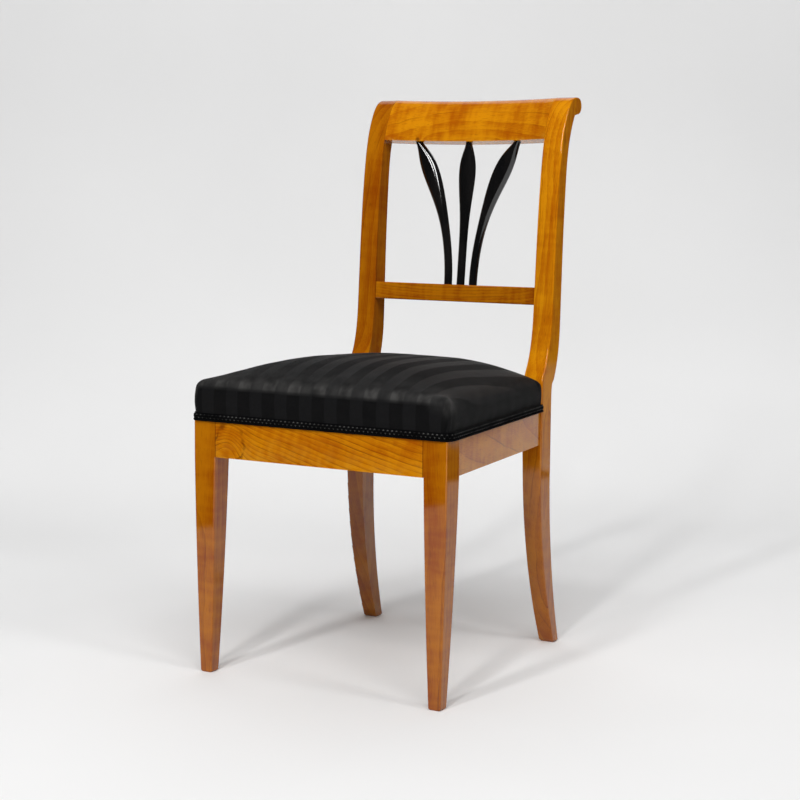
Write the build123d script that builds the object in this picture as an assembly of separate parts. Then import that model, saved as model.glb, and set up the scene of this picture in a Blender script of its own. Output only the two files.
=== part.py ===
from build123d import *
from math import asin, cos, degrees, radians, sin
import os

# A dining chair of the early nineteenth century, in millimetres.
# While it is laid out, X is measured from the middle, Y back from the front legs' faces and Z up
# from the floor. The finished chair is centred over its own footprint at the end.

# Seat frame
leg_outer = 217
leg_face = 216
leg_size = 38
leg_entasis = 1
leg_round = 2
foot_size = 20
foot_outer = 208
foot_setback = 2.5
foot_bevel = 2
rail_bottom = 333
rail_top = 411
rail_thickness = 25
side_rail_end = 177
rear_rail_inset = 2
tenon_thickness = 10
tenon_shoulder = 8
front_tenon_depth = 24
tenon_depth = 18
side_tenon_depth = 15
block_leg = 62
block_bottom = 343
block_top = 398

# Back posts: sabre leg below the seat, swept stile above it
post_inner = 147
post_width = 33
post_front = 383
post_depth = 36
post_round = 2
sabre_top = 285
rear_foot_front = 443
rear_foot_depth = 19.5
rear_foot_inner = 155
rear_foot_bevel = 2.5
knee_start = 424
scroll_radius = 13.5
total_height = 882
scroll_center_y = 500.5
scroll_lead = 6
scroll_notch = (489, 853)
scroll_undercut = (-0.6, -1)
scribe_width = 1.2
scribe_depth = 0.6
scribe_span = (112, 232)
front_sweep = [(396, 459), (408.5, 494), (416, 555), (425, 680), (436.5, 778), (459, 854)]
back_sweep = [(471, 814), (459, 741), (452, 635), (447.5, 525), (440.5, 469), (427, 433)]
back_sweep_end = 385

# Back rails, bowed towards the rear
back_bow = 13
bow_trim = 2
crest_corner = (443.5, 815)
crest_lean = 11.5
crest_tenon = (9, 32)
crest_tenon_center = (460, 832)
mid_corner = (417.5, 552)
mid_height = 28
mid_thickness = 24
mid_lean = 4.5
mid_round = 2
mid_tenon = (9, 18)

# Splat: three leaf-shaped bars, the outer two spreading towards the crest
bar_foot_spacing = 23
bar_tip_spread = 68
bar_thickness = 12
bar_edge = 3
bar_foot_width = 13.5
bar_leaf_width = 30
bar_tip_width = 8
bar_leaf_place = 0.8
bar_leaf_taper = 7
bar_tip_taper = 8
bar_sections = 13
bar_sink = 0.018
bar_tenon_radius = 3
bar_tenon_length = 9

# Upholstery, stuffed over the rails
upholstery_line = 386
cover_thickness = 1.4
cover_clearance = 0.6
seat_corner = 12
side_swell = 1.5
swell_height = 422
edge_front = 451
edge_rear = 437
edge_roll = 10
crown_rise = 38
crown_least = 1
crown_fullness = 2.6
crown_shoulder = 0.72
crown_margin = 6
crown_stations = (-0.8, -0.45, 0, 0.45, 0.8)
gimp_height = 13
gimp_thickness = 1.8
gimp_tape = 1
gimp_cord = 4.4
gimp_lace = 7
gimp_round = 0.8
webbing_width = 50
webbing_thickness = 1.4
webbing_lift = 0.8
webbing_margin = 6
lengthwise_strips = (-111, -37, 37, 111)
crosswise_strips = (70, 147, 224, 301)
ramp_gap = 2
hessian_thickness = 0.8
hessian_margin = 3
tack_head_radius = 2.4
tack_head_sides = 8
tack_head_height = 0.6
tack_shank = 1.3
tack_length = 10
tack_point = 0.25
tack_play = 0.05
tack_pitch = 38
webbing_tack_pitch = 18

# Worked out from the above
leg_inner = leg_face - leg_size
post_outer = post_inner + post_width
post_back = post_front + post_depth
rear_rail_back = post_back - rear_rail_inset
side_slope = (leg_outer - side_rail_end) / post_front
scroll_center_z = total_height - scroll_radius
footprint_front = -(cover_thickness + gimp_thickness)
footprint_rear = scroll_center_y + scroll_radius + back_bow * cos(radians(crest_lean))
footprint_middle = (footprint_front + footprint_rear) / 2
tenon_bottom = rail_bottom + tenon_shoulder
tenon_top = rail_top - tenon_shoulder
bow_radius = (post_inner**2 + back_bow**2) / (2 * back_bow)
gimp_top = upholstery_line + gimp_height
weave_level = rail_top + webbing_thickness / 2 + webbing_lift
hessian_level = weave_level + webbing_lift + webbing_thickness / 2 + tack_head_height
stuffing_level = hessian_level + hessian_thickness


def side_face(y):
    """X of the seat frame's outer face at depth y."""
    return leg_outer - side_slope * y


def span_box(low, high):
    """Box between two opposite corners."""
    size = [b - a for a, b in zip(low, high)]
    middle = [(a + b) / 2 for a, b in zip(low, high)]
    return Pos(*middle) * Box(*size)


def leg_section(z, inner, outer, front, back, swell):
    """Rounded square section of a front leg."""
    corners = [
        (inner - swell, front - swell / 2),
        (outer + swell, front - swell / 2),
        (outer + swell, back + swell),
        (inner - swell, back + swell),
    ]
    outline = Polygon(*corners, align=None)
    return Pos(0, 0, z) * fillet(outline.vertices(), leg_round)


def leg_block(bottom, top, outer_front, outer_back):
    """Upper block of the right front leg between two heights, its corners still sharp."""
    corners = [(leg_inner, 0), (outer_front, 0), (outer_back, leg_size), (leg_inner, leg_size)]
    return Pos(0, 0, bottom) * extrude(Polygon(*corners, align=None), top - bottom)


def make_front_leg():
    """Right front leg: block for the joints, cut back under the cover, and a taper with a slight swell."""
    foot = (foot_outer - foot_size, foot_outer, foot_setback, foot_setback + foot_size)
    top = (leg_inner, leg_face, 0, leg_size)
    middle = [(a + b) / 2 for a, b in zip(foot, top)]
    sole = leg_section(foot_bevel, *foot, 0)
    bevel = loft([leg_section(0, *foot, -foot_bevel), sole], ruled=True)
    waist = leg_section(rail_bottom / 2, *middle, leg_entasis)
    taper = loft([sole, waist, leg_section(rail_bottom, *top, 0)])
    shown = leg_block(rail_bottom, upholstery_line, leg_face, leg_face)
    shown = fillet(shown.edges().filter_by(Axis.Z).group_by(Axis.X)[-1], leg_round)
    covered = leg_block(upholstery_line, rail_top, leg_outer, side_face(leg_size))
    covered = fillet(covered.edges().filter_by(Axis.Z).sort_by(Axis.X)[-1], seat_corner)
    return bevel + taper + shown + covered


def post_profile():
    """Side outline of a back post in (Y, Z), from the foot up the front and down the back."""
    foot_front = (rear_foot_front, 0)
    foot_back = (rear_foot_front + rear_foot_depth, 0)
    scroll_start = (scroll_center_y - scroll_lead, total_height)
    scroll_top = (scroll_center_y, total_height)
    scroll_rear = (scroll_center_y + scroll_radius, scroll_center_z)
    scroll_bottom = (scroll_center_y, scroll_center_z - scroll_radius)
    knee = (post_front, knee_start)
    heel = (post_back, back_sweep_end)
    outline = [
        TangentArc((post_front, sabre_top), foot_front, tangent=(0, -1)),
        Line((post_front, sabre_top), knee),
        Spline(knee, *front_sweep, scroll_start, tangents=[(0, 1), (1, 0)]),
        Line(scroll_start, scroll_top),
        ThreePointArc(scroll_top, scroll_rear, scroll_bottom),
        Line(scroll_bottom, scroll_notch),
        Spline(scroll_notch, *back_sweep, heel, tangents=[scroll_undercut, (0, -1)]),
        Line(heel, (post_back, sabre_top)),
        TangentArc((post_back, sabre_top), foot_back, tangent=(0, -1)),
        Line(foot_back, foot_front),
    ]
    return make_face(outline)


def make_post():
    """Right back post: the side outline sawn from a plank, eased outside and tapered inside."""
    plank = extrude(Plane.YZ * post_profile(), post_outer)
    plank = fillet(plank.faces().sort_by(Axis.X)[-1].edges(), post_round)
    inside = Polygon(
        (0, 0),
        (rear_foot_inner, 0),
        (post_inner, rail_bottom),
        (post_inner, total_height),
        (0, total_height),
        align=None,
    )
    return (plank - extrude(Plane.XZ * inside, -footprint_rear) - scroll_scribe()) & foot_trim()


def foot_trim():
    """Block that widens evenly upwards from the right rear foot's sole, to bevel its edges all round."""
    width = post_outer - rear_foot_inner - 2 * rear_foot_bevel
    depth = rear_foot_depth - 2 * rear_foot_bevel
    spread = 2 * total_height
    middle = Pos((rear_foot_inner + post_outer) / 2, rear_foot_front + rear_foot_depth / 2, 0)
    sole = middle * Rectangle(width, depth)
    top = middle * Pos(0, 0, total_height) * Rectangle(width + spread, depth + spread)
    return loft([sole, top], ruled=True)


def scroll_scribe():
    """Shallow arc scribed in a post's outer face, carrying the scroll's circle round its front."""
    start, end = scribe_span
    centre = Vector(scroll_center_y, scroll_center_z)
    outer = CenterArc(centre, scroll_radius, start, end - start)
    inner = CenterArc(centre, scroll_radius - scribe_width, start, end - start)
    outline = make_face([outer, inner, Line(outer @ 0, inner @ 0), Line(outer @ 1, inner @ 1)])
    return Pos(post_outer - scribe_depth, 0, 0) * extrude(Plane.YZ * outline, post_width)


def bowed(section, corner, lean):
    """Turn a (Y, Z) section about a leaning axis in front of the back, to a rail bowed rearwards."""
    across = Vector(0, cos(radians(lean)), -sin(radians(lean)))
    along = Vector(0, sin(radians(lean)), cos(radians(lean)))
    pivot = Vector(0, *corner) + across * (back_bow - bow_radius)
    axis = Axis(pivot, along)
    half_turn = degrees(asin(post_inner / bow_radius)) + bow_trim
    middle_section = Pos(across * back_bow) * (Plane.YZ * section)
    rail = revolve(middle_section, axis, 2 * half_turn).rotate(axis, -half_turn)
    return rail & span_box((-post_inner, 0, 0), (post_inner, footprint_rear, total_height))


def back_tenons(center, size, lean):
    """Pair of tenons at the ends of a back rail, as (right, left)."""
    block = Box(2 * tenon_depth, *size)
    turned = Rot(-lean, 0, 0) * block
    return [Pos(side * post_inner, *center) * turned for side in (1, -1)]


def make_crest():
    """Crest rail: the posts' own rolled-over outline above the crest's lower edge, bowed."""
    above = Pos(*crest_corner) * Rot(0, 0, -crest_lean) * Rectangle(
        2 * footprint_rear, total_height, align=(Align.CENTER, Align.MIN)
    )
    return bowed(post_profile() & above, crest_corner, crest_lean)


def make_mid_rail():
    """Lower back rail with softly rounded long edges, bowed like the crest."""
    outline = Rectangle(mid_thickness, mid_height, align=(Align.MIN, Align.MIN))
    outline = fillet(outline.vertices(), mid_round)
    section = Pos(*mid_corner) * Rot(0, 0, -mid_lean) * outline
    return bowed(section, mid_corner, mid_lean)


def bar_section(width, thickness):
    """Section of a splat bar in plan: two shallow curves with narrow flat sides."""
    half = width / 2
    edge = bar_edge / 2
    outline = [
        ThreePointArc((-half, -edge), (0, -thickness / 2), (half, -edge)),
        Line((half, -edge), (half, edge)),
        ThreePointArc((half, edge), (0, thickness / 2), (-half, edge)),
        Line((-half, edge), (-half, -edge)),
    ]
    return make_face(outline)


def bar_width(share):
    """Width of a splat bar at a share of its length: slim below, a leaf above, drawn in at the tip."""
    share = min(max(share, 0), 1)
    stem = bar_foot_width + (bar_tip_width - bar_foot_width) * share**bar_tip_taper
    swell = (share / bar_leaf_place) ** (bar_leaf_place * bar_leaf_taper)
    fade = ((1 - share) / (1 - bar_leaf_place)) ** ((1 - bar_leaf_place) * bar_leaf_taper)
    return stem + (bar_leaf_width - bar_foot_width) * swell * fade


def make_bar(side, foot, tip):
    """Splat bar on one side (-1, 0 or 1) with round tenons in line with its ends."""
    rise = tip - foot
    planes = []
    sections = []
    for index in range(bar_sections):
        share = -bar_sink + (1 + 2 * bar_sink) * index / (bar_sections - 1)
        bend = side * bar_tip_spread * abs(share) * share
        center = foot + Vector(bend, rise.Y * share, rise.Z * share)
        lean = Vector(side * 2 * bar_tip_spread * max(share, 0), rise.Y, rise.Z)
        planes.append(Plane(center, x_dir=(lean.Z, 0, -lean.X), z_dir=lean))
        sections.append(planes[-1] * bar_section(bar_width(share), bar_thickness))
    tenons = [plane * Cylinder(bar_tenon_radius, 2 * bar_tenon_length) for plane in (planes[0], planes[-1])]
    return loft(sections), tenons


def rail_face_point(rail, x, y, direction):
    """Point where the vertical line at (x, y) leaves a rail upwards (1) or downwards (-1)."""
    line = Axis((x, y + back_bow * (1 - (x / post_inner) ** 2), 0), (0, 0, 1))
    hits = sorted(point.Z for point, _ in rail.find_intersection_points(line))
    return Vector(x, line.position.Y, hits[-1] if direction > 0 else hits[0])


def rail_joints(body, tenons, *carriers):
    """Add tenons to a rail and cut their mortises in the pieces that carry it."""
    joined = body
    for tenon in tenons:
        joined = joined + tenon
    return [joined] + [carrier - tenons for carrier in carriers]


def seat_outline(z, grow):
    """Seat frame's plan with rounded front corners, grown outwards by the given amount."""
    rear = side_face(rear_rail_back)
    corners = [(-leg_outer, 0), (leg_outer, 0), (rear, rear_rail_back), (-rear, rear_rail_back)]
    outline = offset(Polygon(*corners, align=None), grow, kind=Kind.INTERSECTION)
    front_corners = outline.vertices().sort_by(Axis.Y)[:2]
    return Pos(0, 0, z) * fillet(front_corners, seat_corner + grow)


def crown_section(place):
    """Cross-section of the crowned top at a place from -1 (front) to 1 (rear)."""
    half_depth = rear_rail_back / 2
    y = half_depth * (1 + place)
    edge = edge_front + (edge_rear - edge_front) * y / rear_rail_back
    rise = max(crown_rise * (1 - abs(place) ** crown_fullness), crown_least)
    half = side_face(y) + crown_margin
    shoulder = crown_shoulder * half
    shoulder_z = edge + rise * (1 - crown_shoulder**crown_fullness)
    top = ThreePointArc((shoulder, shoulder_z), (0, edge + rise), (-shoulder, shoulder_z))
    right = TangentArc((shoulder, shoulder_z), (half, edge), tangent=-(top % 0))
    left = TangentArc((-shoulder, shoulder_z), (-half, edge), tangent=top % 1)
    sides = Polyline((half, edge), (half, rail_bottom), (-half, rail_bottom), (-half, edge))
    plane = Plane((0, y, 0), x_dir=(1, 0, 0), z_dir=(0, -1, 0))
    return plane * make_face([top, right, left, sides])


def seat_form(proud):
    """Stuffed seat whose sides stand the given distance outside the rails."""
    swelling = [
        seat_outline(gimp_top, proud),
        seat_outline(swell_height, proud + side_swell),
        seat_outline(edge_front + crown_rise + crown_margin, proud),
    ]
    walls = extrude(seat_outline(upholstery_line, proud), gimp_height) + loft(swelling)
    past_edge = 1 + 2 * crown_margin / rear_rail_back
    places = (-past_edge, *crown_stations, past_edge)
    drop = proud - cover_thickness
    crown = Pos(0, 0, drop) * loft([crown_section(place) for place in places])
    form = walls & crown
    rim = form.faces().sort_by(Axis.Z)[-1].edges()
    return fillet(rim, edge_roll + drop)


def post_notches(gap, bottom):
    """Blocks that clear both back posts out of the seat above a level, with the given gap round them."""
    low = (post_inner - gap, post_front - gap, bottom)
    right = span_box(low, (leg_outer, footprint_rear, total_height))
    return [right, mirror(right, Plane.YZ)]


def wavy_strip(length, crossings, phase):
    """Webbing strip along X: it rises and dips by turns at the crossings, and lies flat at its ends."""
    reach = webbing_width / 2 + ramp_gap
    line = [(-length / 2, -webbing_lift)]
    for index, place in enumerate(crossings):
        level = webbing_lift if (index + phase) % 2 else -webbing_lift
        line += [(place - reach, level), (place + reach, level)]
    line.append((length / 2, -webbing_lift))
    upper = [(x, z + webbing_thickness / 2) for x, z in line]
    lower = [(x, z - webbing_thickness / 2) for x, z in reversed(line)]
    profile = Plane.XZ * Polygon(*upper, *lower, align=None)
    return Pos(0, 0, weave_level) * extrude(profile, webbing_width / 2, both=True)


def make_webbing():
    """Interlaced strips, as (lengthwise, crosswise), with the places of their tacks."""
    lengthwise = []
    crosswise = []
    tack_places = []
    tack_row = (-webbing_tack_pitch, 0, webbing_tack_pitch)
    front_end = webbing_margin
    rear_end = rear_rail_back - webbing_margin
    middle = (front_end + rear_end) / 2
    for index, x in enumerate(lengthwise_strips):
        crossings = [y - middle for y in crosswise_strips]
        strip = wavy_strip(rear_end - front_end, crossings, index)
        lengthwise.append(Pos(x, middle, 0) * Rot(0, 0, 90) * strip)
        for y in (rail_thickness / 2, rear_rail_back - rail_thickness / 2):
            tack_places += [(x + along, y) for along in tack_row]
    for index, y in enumerate(crosswise_strips):
        half = side_face(y + webbing_width / 2) - webbing_margin
        strip = wavy_strip(2 * half, lengthwise_strips, index + 1)
        crosswise.append(Pos(0, y, 0) * strip)
        for side in (-1, 1):
            x = side * (side_face(y) - rail_thickness / 2)
            tack_places += [(x, y + along) for along in tack_row]
    return lengthwise, crosswise, tack_places


def make_tack(play):
    """Cut tack pointing down from the origin with its hammered head above, or its hole with some play."""
    head = extrude(RegularPolygon(tack_head_radius + play, tack_head_sides), tack_head_height + play)
    width = tack_shank + 2 * play
    point = Pos(0, 0, -tack_length - play) * Rectangle(tack_point * width, tack_point * width)
    return head + loft([Rectangle(width, width), point], ruled=True)


def cover_tack_places():
    """Planes of the tacks that hold the cover to the rails, each pointing into the wood."""
    z = upholstery_line + gimp_height / 2
    skin = cover_thickness - tack_head_height
    places = []
    count = int(2 * leg_inner / tack_pitch)
    for index in range(count + 1):
        x = (index - count / 2) * tack_pitch
        places.append(Plane((x, -skin, z), x_dir=(1, 0, 0), z_dir=(0, -1, 0)))
    rear_count = int(2 * (post_inner - tack_pitch / 2) / tack_pitch)
    for index in range(rear_count + 1):
        x = (index - rear_count / 2) * tack_pitch
        places.append(Plane((x, rear_rail_back + skin, z), x_dir=(1, 0, 0), z_dir=(0, 1, 0)))
    side_count = int((post_front - leg_size) / tack_pitch)
    for index in range(side_count):
        y = leg_size + (index + 0.5) * tack_pitch
        for side in (-1, 1):
            normal = Vector(side, side_slope, 0).normalized()
            foot = Vector(side * side_face(y), y, z) + normal * skin
            places.append(Plane(foot, x_dir=(0, 0, 1), z_dir=normal))
    return places


def gimp_ridge(low, high):
    """Ridge of the braid between two heights, softly rounded above and below."""
    ridge = extrude(seat_outline(low, cover_thickness + gimp_thickness), high - low)
    long_edges = ridge.edges().group_by(Axis.Z)
    return fillet(long_edges[0] + long_edges[-1], gimp_round)


def make_gimp(low_y, high_y):
    """Braid round the foot of the cover between two depths: a tape under a cord and a laced ridge."""
    cord_top = upholstery_line + gimp_cord
    lace_bottom = gimp_top - gimp_lace
    tape_bottom = cord_top - gimp_cord / 2
    tape_top = lace_bottom + gimp_lace / 2
    tape = extrude(seat_outline(tape_bottom, cover_thickness + gimp_tape), tape_top - tape_bottom)
    outer = tape + gimp_ridge(upholstery_line, cord_top) + gimp_ridge(lace_bottom, gimp_top)
    inner = extrude(seat_outline(upholstery_line, cover_thickness), gimp_height)
    keep = span_box((-total_height, low_y, 0), (total_height, high_y, total_height))
    return (outer - inner) & keep - post_notches(cover_clearance, 0)


def make_side_rail():
    """Right side rail between the front leg and the post."""
    outline = Polygon(
        (side_face(leg_size), leg_size),
        (side_rail_end, post_front),
        (side_rail_end - rail_thickness, post_front),
        (side_face(leg_size) - rail_thickness, leg_size),
        align=None,
    )
    return Pos(0, 0, rail_bottom) * extrude(outline, rail_top - rail_bottom)


def side_tenons():
    """Tenons of the right side rail, as (front, rear)."""
    front_x = side_face(leg_size) - rail_thickness / 2
    rear_x = side_rail_end - rail_thickness / 2
    half = tenon_thickness / 2
    front = span_box(
        (front_x - half, leg_size - side_tenon_depth, tenon_bottom),
        (front_x + half, leg_size + side_tenon_depth, tenon_top),
    )
    rear = span_box(
        (rear_x - half, post_front - side_tenon_depth, tenon_bottom),
        (rear_x + half, post_front + side_tenon_depth, tenon_top),
    )
    return front, rear


def cross_rail(half_length, front, back):
    """Straight seat rail across the chair."""
    return span_box((-half_length, front, rail_bottom), (half_length, back, rail_top))


def cross_tenons(shoulder, depth, middle):
    """Tenons at the ends of a cross rail, as (right, left)."""
    half = tenon_thickness / 2
    right = span_box(
        (shoulder - depth, middle - half, tenon_bottom),
        (shoulder + depth, middle + half, tenon_top),
    )
    return [right, mirror(right, Plane.YZ)]


def make_corner_block(front_corner, *neighbours):
    """Right-hand corner block in the front or rear corner, cut to fit the pieces beside it."""
    if front_corner:
        corner = (side_face(rail_thickness), rail_thickness)
        along_side = (side_face(rail_thickness + block_leg), rail_thickness + block_leg)
    else:
        inner_y = rear_rail_back - rail_thickness
        corner = (side_face(inner_y), inner_y)
        along_side = (side_face(inner_y - block_leg), inner_y - block_leg)
    along_rail = (corner[0] - rail_thickness - block_leg, corner[1])
    inner_end = (along_side[0] - rail_thickness, along_side[1])
    outline = make_face(Polyline(corner, along_side, inner_end, along_rail, close=True))
    block = Pos(0, 0, block_bottom) * extrude(outline, block_top - block_bottom, dir=(0, 0, 1))
    fitted = block - list(neighbours)
    return fitted.solids().sort_by(SortBy.VOLUME)[-1]


def make_chair():
    """All pieces of the chair by name."""
    right_leg = make_front_leg()
    left_leg = mirror(right_leg, Plane.YZ)
    right_post = make_post()
    left_post = mirror(right_post, Plane.YZ)

    # Seat frame
    front_rail = cross_rail(leg_inner, 0, rail_thickness)
    front_tenons = cross_tenons(leg_inner, front_tenon_depth, rail_thickness / 2)
    front_rail, right_leg, left_leg = rail_joints(front_rail, front_tenons, right_leg, left_leg)
    rear_rail = cross_rail(post_inner, rear_rail_back - rail_thickness, rear_rail_back)
    rear_tenons = cross_tenons(post_inner, tenon_depth, rear_rail_back - rail_thickness / 2)
    rear_rail, right_post, left_post = rail_joints(rear_rail, rear_tenons, right_post, left_post)
    tenons = side_tenons()
    right_rail, right_leg, right_post = rail_joints(make_side_rail(), tenons, right_leg, right_post)
    left_tenons = [mirror(tenon, Plane.YZ) for tenon in tenons]
    left_rail, left_leg, left_post = rail_joints(
        mirror(make_side_rail(), Plane.YZ), left_tenons, left_leg, left_post
    )
    right_front_block = make_corner_block(True, right_leg, front_rail, right_rail)
    right_rear_block = make_corner_block(False, right_post, rear_rail, right_rail)

    # Back
    crest_tenons = back_tenons(crest_tenon_center, crest_tenon, crest_lean)
    crest, right_post, left_post = rail_joints(make_crest(), crest_tenons, right_post, left_post)
    lean = Vector(sin(radians(mid_lean)), cos(radians(mid_lean)))
    across = Vector(lean.Y, -lean.X)
    mid_center = Vector(*mid_corner) + lean * mid_height / 2 + across * mid_thickness / 2
    mid_tenons = back_tenons((mid_center.X, mid_center.Y), mid_tenon, mid_lean)
    mid_rail, right_post, left_post = rail_joints(make_mid_rail(), mid_tenons, right_post, left_post)

    bars = {}
    for side, name in ((-1, "left"), (0, "centre"), (1, "right")):
        foot_x = side * bar_foot_spacing
        tip_x = foot_x + side * bar_tip_spread
        foot = rail_face_point(mid_rail, foot_x, mid_center.X, 1)
        tip = rail_face_point(crest, tip_x, crest_corner[0] + bar_thickness, -1)
        bar, bar_tenons = make_bar(side, foot, tip)
        bar = bar - [mid_rail, crest]
        joined, mid_rail, crest = rail_joints(bar, bar_tenons, mid_rail, crest)
        bars[f"{name}_splat_bar"] = joined

    # Upholstery
    lengthwise, crosswise, webbing_tack_places = make_webbing()
    webbing_top = rail_top + webbing_thickness
    webbing_planes = [Plane((x, y, webbing_top)) for x, y in webbing_tack_places]
    webbing_tacks = [plane * make_tack(0) for plane in webbing_planes]
    webbing_tack_holes = [plane * make_tack(tack_play) for plane in webbing_planes]
    cover_tacks = [plane * make_tack(0) for plane in cover_tack_places()]
    cover_tack_holes = [plane * make_tack(tack_play) for plane in cover_tack_places()]
    cover = seat_form(cover_thickness) - post_notches(cover_clearance, 0)
    filling = seat_form(0) - post_notches(cover_clearance, 0)
    filling = filling - post_notches(cover_clearance + cover_thickness, stuffing_level)
    cover = cover - filling - cover_tack_holes
    above_base = span_box((-leg_outer, 0, stuffing_level), (leg_outer, rear_rail_back, total_height))
    base_cloth = extrude(seat_outline(hessian_level, -hessian_margin), hessian_thickness)
    base_cloth = base_cloth - post_notches(cover_clearance + hessian_margin, 0)

    return {
        "left_front_leg": left_leg,
        "right_front_leg": right_leg,
        "left_back_post": left_post,
        "right_back_post": right_post,
        "front_rail": front_rail - webbing_tack_holes - cover_tack_holes,
        "rear_rail": rear_rail - webbing_tack_holes - cover_tack_holes,
        "left_side_rail": left_rail - webbing_tack_holes - cover_tack_holes,
        "right_side_rail": right_rail - webbing_tack_holes - cover_tack_holes,
        "crest_rail": crest,
        "mid_rail": mid_rail,
        **bars,
        "right_front_corner_block": right_front_block,
        "left_front_corner_block": mirror(right_front_block, Plane.YZ),
        "right_rear_corner_block": right_rear_block,
        "left_rear_corner_block": mirror(right_rear_block, Plane.YZ),
        "lengthwise_webbing": Compound(children=[strip - webbing_tack_holes for strip in lengthwise]),
        "crosswise_webbing": Compound(children=[strip - webbing_tack_holes for strip in crosswise]),
        "webbing_tacks": Compound(children=webbing_tacks),
        "hessian_base": base_cloth,
        "seat_stuffing": filling & above_base,
        "seat_cover": cover,
        "cover_tacks": Compound(children=cover_tacks),
        "seat_gimp": make_gimp(-seat_corner, post_front - cover_clearance),
        "rear_gimp": make_gimp(rear_rail_back, footprint_rear),
    }


os.makedirs("parts", exist_ok=True)
for name, piece in make_chair().items():
    export_step(Pos(0, -footprint_middle, 0) * piece, f"parts/{name}.step")
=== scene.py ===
"""Looks of a cherry dining chair with an ebonised splat and a black striped seat.

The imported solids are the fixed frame. This script gives the wood its grain and polish, and models the
soft seat: the crowned cushion, the braid round its foot, the webbing and the base cloth under it.
All lengths are in metres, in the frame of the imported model.
"""

from __future__ import annotations

import logging
import math
from dataclasses import dataclass, field
from enum import Enum
from functools import cache
from typing import Any, Sequence, Union

import bpy
import numpy as np
from mathutils import Matrix, Vector, noise


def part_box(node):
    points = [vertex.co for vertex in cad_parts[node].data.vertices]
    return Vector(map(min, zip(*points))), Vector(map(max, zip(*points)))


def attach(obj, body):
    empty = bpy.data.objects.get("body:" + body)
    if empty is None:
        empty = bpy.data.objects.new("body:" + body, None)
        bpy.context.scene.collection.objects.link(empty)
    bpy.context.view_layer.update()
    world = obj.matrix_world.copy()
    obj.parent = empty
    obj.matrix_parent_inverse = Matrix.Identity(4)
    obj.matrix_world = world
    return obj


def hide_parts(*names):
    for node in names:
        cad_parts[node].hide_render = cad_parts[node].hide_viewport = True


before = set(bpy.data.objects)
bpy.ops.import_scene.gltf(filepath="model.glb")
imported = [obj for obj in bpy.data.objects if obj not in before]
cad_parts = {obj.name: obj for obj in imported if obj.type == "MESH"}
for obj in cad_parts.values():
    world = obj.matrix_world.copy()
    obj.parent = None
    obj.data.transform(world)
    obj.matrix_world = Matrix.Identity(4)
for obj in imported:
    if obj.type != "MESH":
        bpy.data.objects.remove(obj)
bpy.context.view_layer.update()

LOG = logging.getLogger("chair")
BODY = "root"
CLOTH_PLACE = "cloth_place"
# Stored share of wear mixed with painted light: highlight and sheen on the cover, glints on the braid.
RUBBED_AND_PAINTED_LIGHT = "rubbed"
# Stored share of painted sheen that the satin stripes get by their place on the cover.
SATIN_PAINTED_SHEEN = "satin"
TINY = 1e-9
SMOOTH_SOLID = math.radians(32)
SMOOTH_CLOTH = math.radians(40)
GRAIN_VALUES = (
    "Ring Spacing", "Sway", "Figure Size", "Figure Rise", "Knot", "Rim", "Flame",
    "Line Depth", "Line Width", "Line Choice",
)

Colour = tuple[float, float, float, float]
Triple = tuple[float, float, float]
Face = tuple[int, ...]
Source = Union["Wire", float, Sequence[float]]


def srgb(red: int, green: int, blue: int) -> Colour:
    """Linear colour of a display colour.

    Args:
        red: Red from 0 to 255.
        green: Green from 0 to 255.
        blue: Blue from 0 to 255.

    Returns:
        The same colour as linear values with full alpha.
    """
    shares = [value / 255 for value in (red, green, blue)]
    linear = [s / 12.92 if s <= 0.04045 else ((s + 0.055) / 1.055) ** 2.4 for s in shares]
    return (linear[0], linear[1], linear[2], 1.0)


def ramp(value: Any, start: Any, end: Any) -> np.ndarray:
    """Share from 0 at the start to 1 at the end, held at both."""
    return np.clip((value - start) / (end - start), 0, 1)


class Wire:
    """An output socket of a shader node that can be added, taken away, scaled and divided."""

    def __init__(self, sketch: ShaderSketch, socket: bpy.types.NodeSocket) -> None:
        """Keep the socket and the sketch that it belongs to."""
        self.sketch = sketch
        self.socket = socket

    def __add__(self, other: Source) -> Wire:
        """Sum with another source."""
        return self.sketch.math("ADD", self, other)

    def __sub__(self, other: Source) -> Wire:
        """This value less another source."""
        return self.sketch.math("SUBTRACT", self, other)

    def __rsub__(self, other: float) -> Wire:
        """A number less this value."""
        return self.sketch.math("SUBTRACT", other, self)

    def __mul__(self, other: Source) -> Wire:
        """Product with another source."""
        return self.sketch.math("MULTIPLY", self, other)

    def __truediv__(self, other: Source) -> Wire:
        """This value divided by another source."""
        return self.sketch.math("DIVIDE", self, other)


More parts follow.
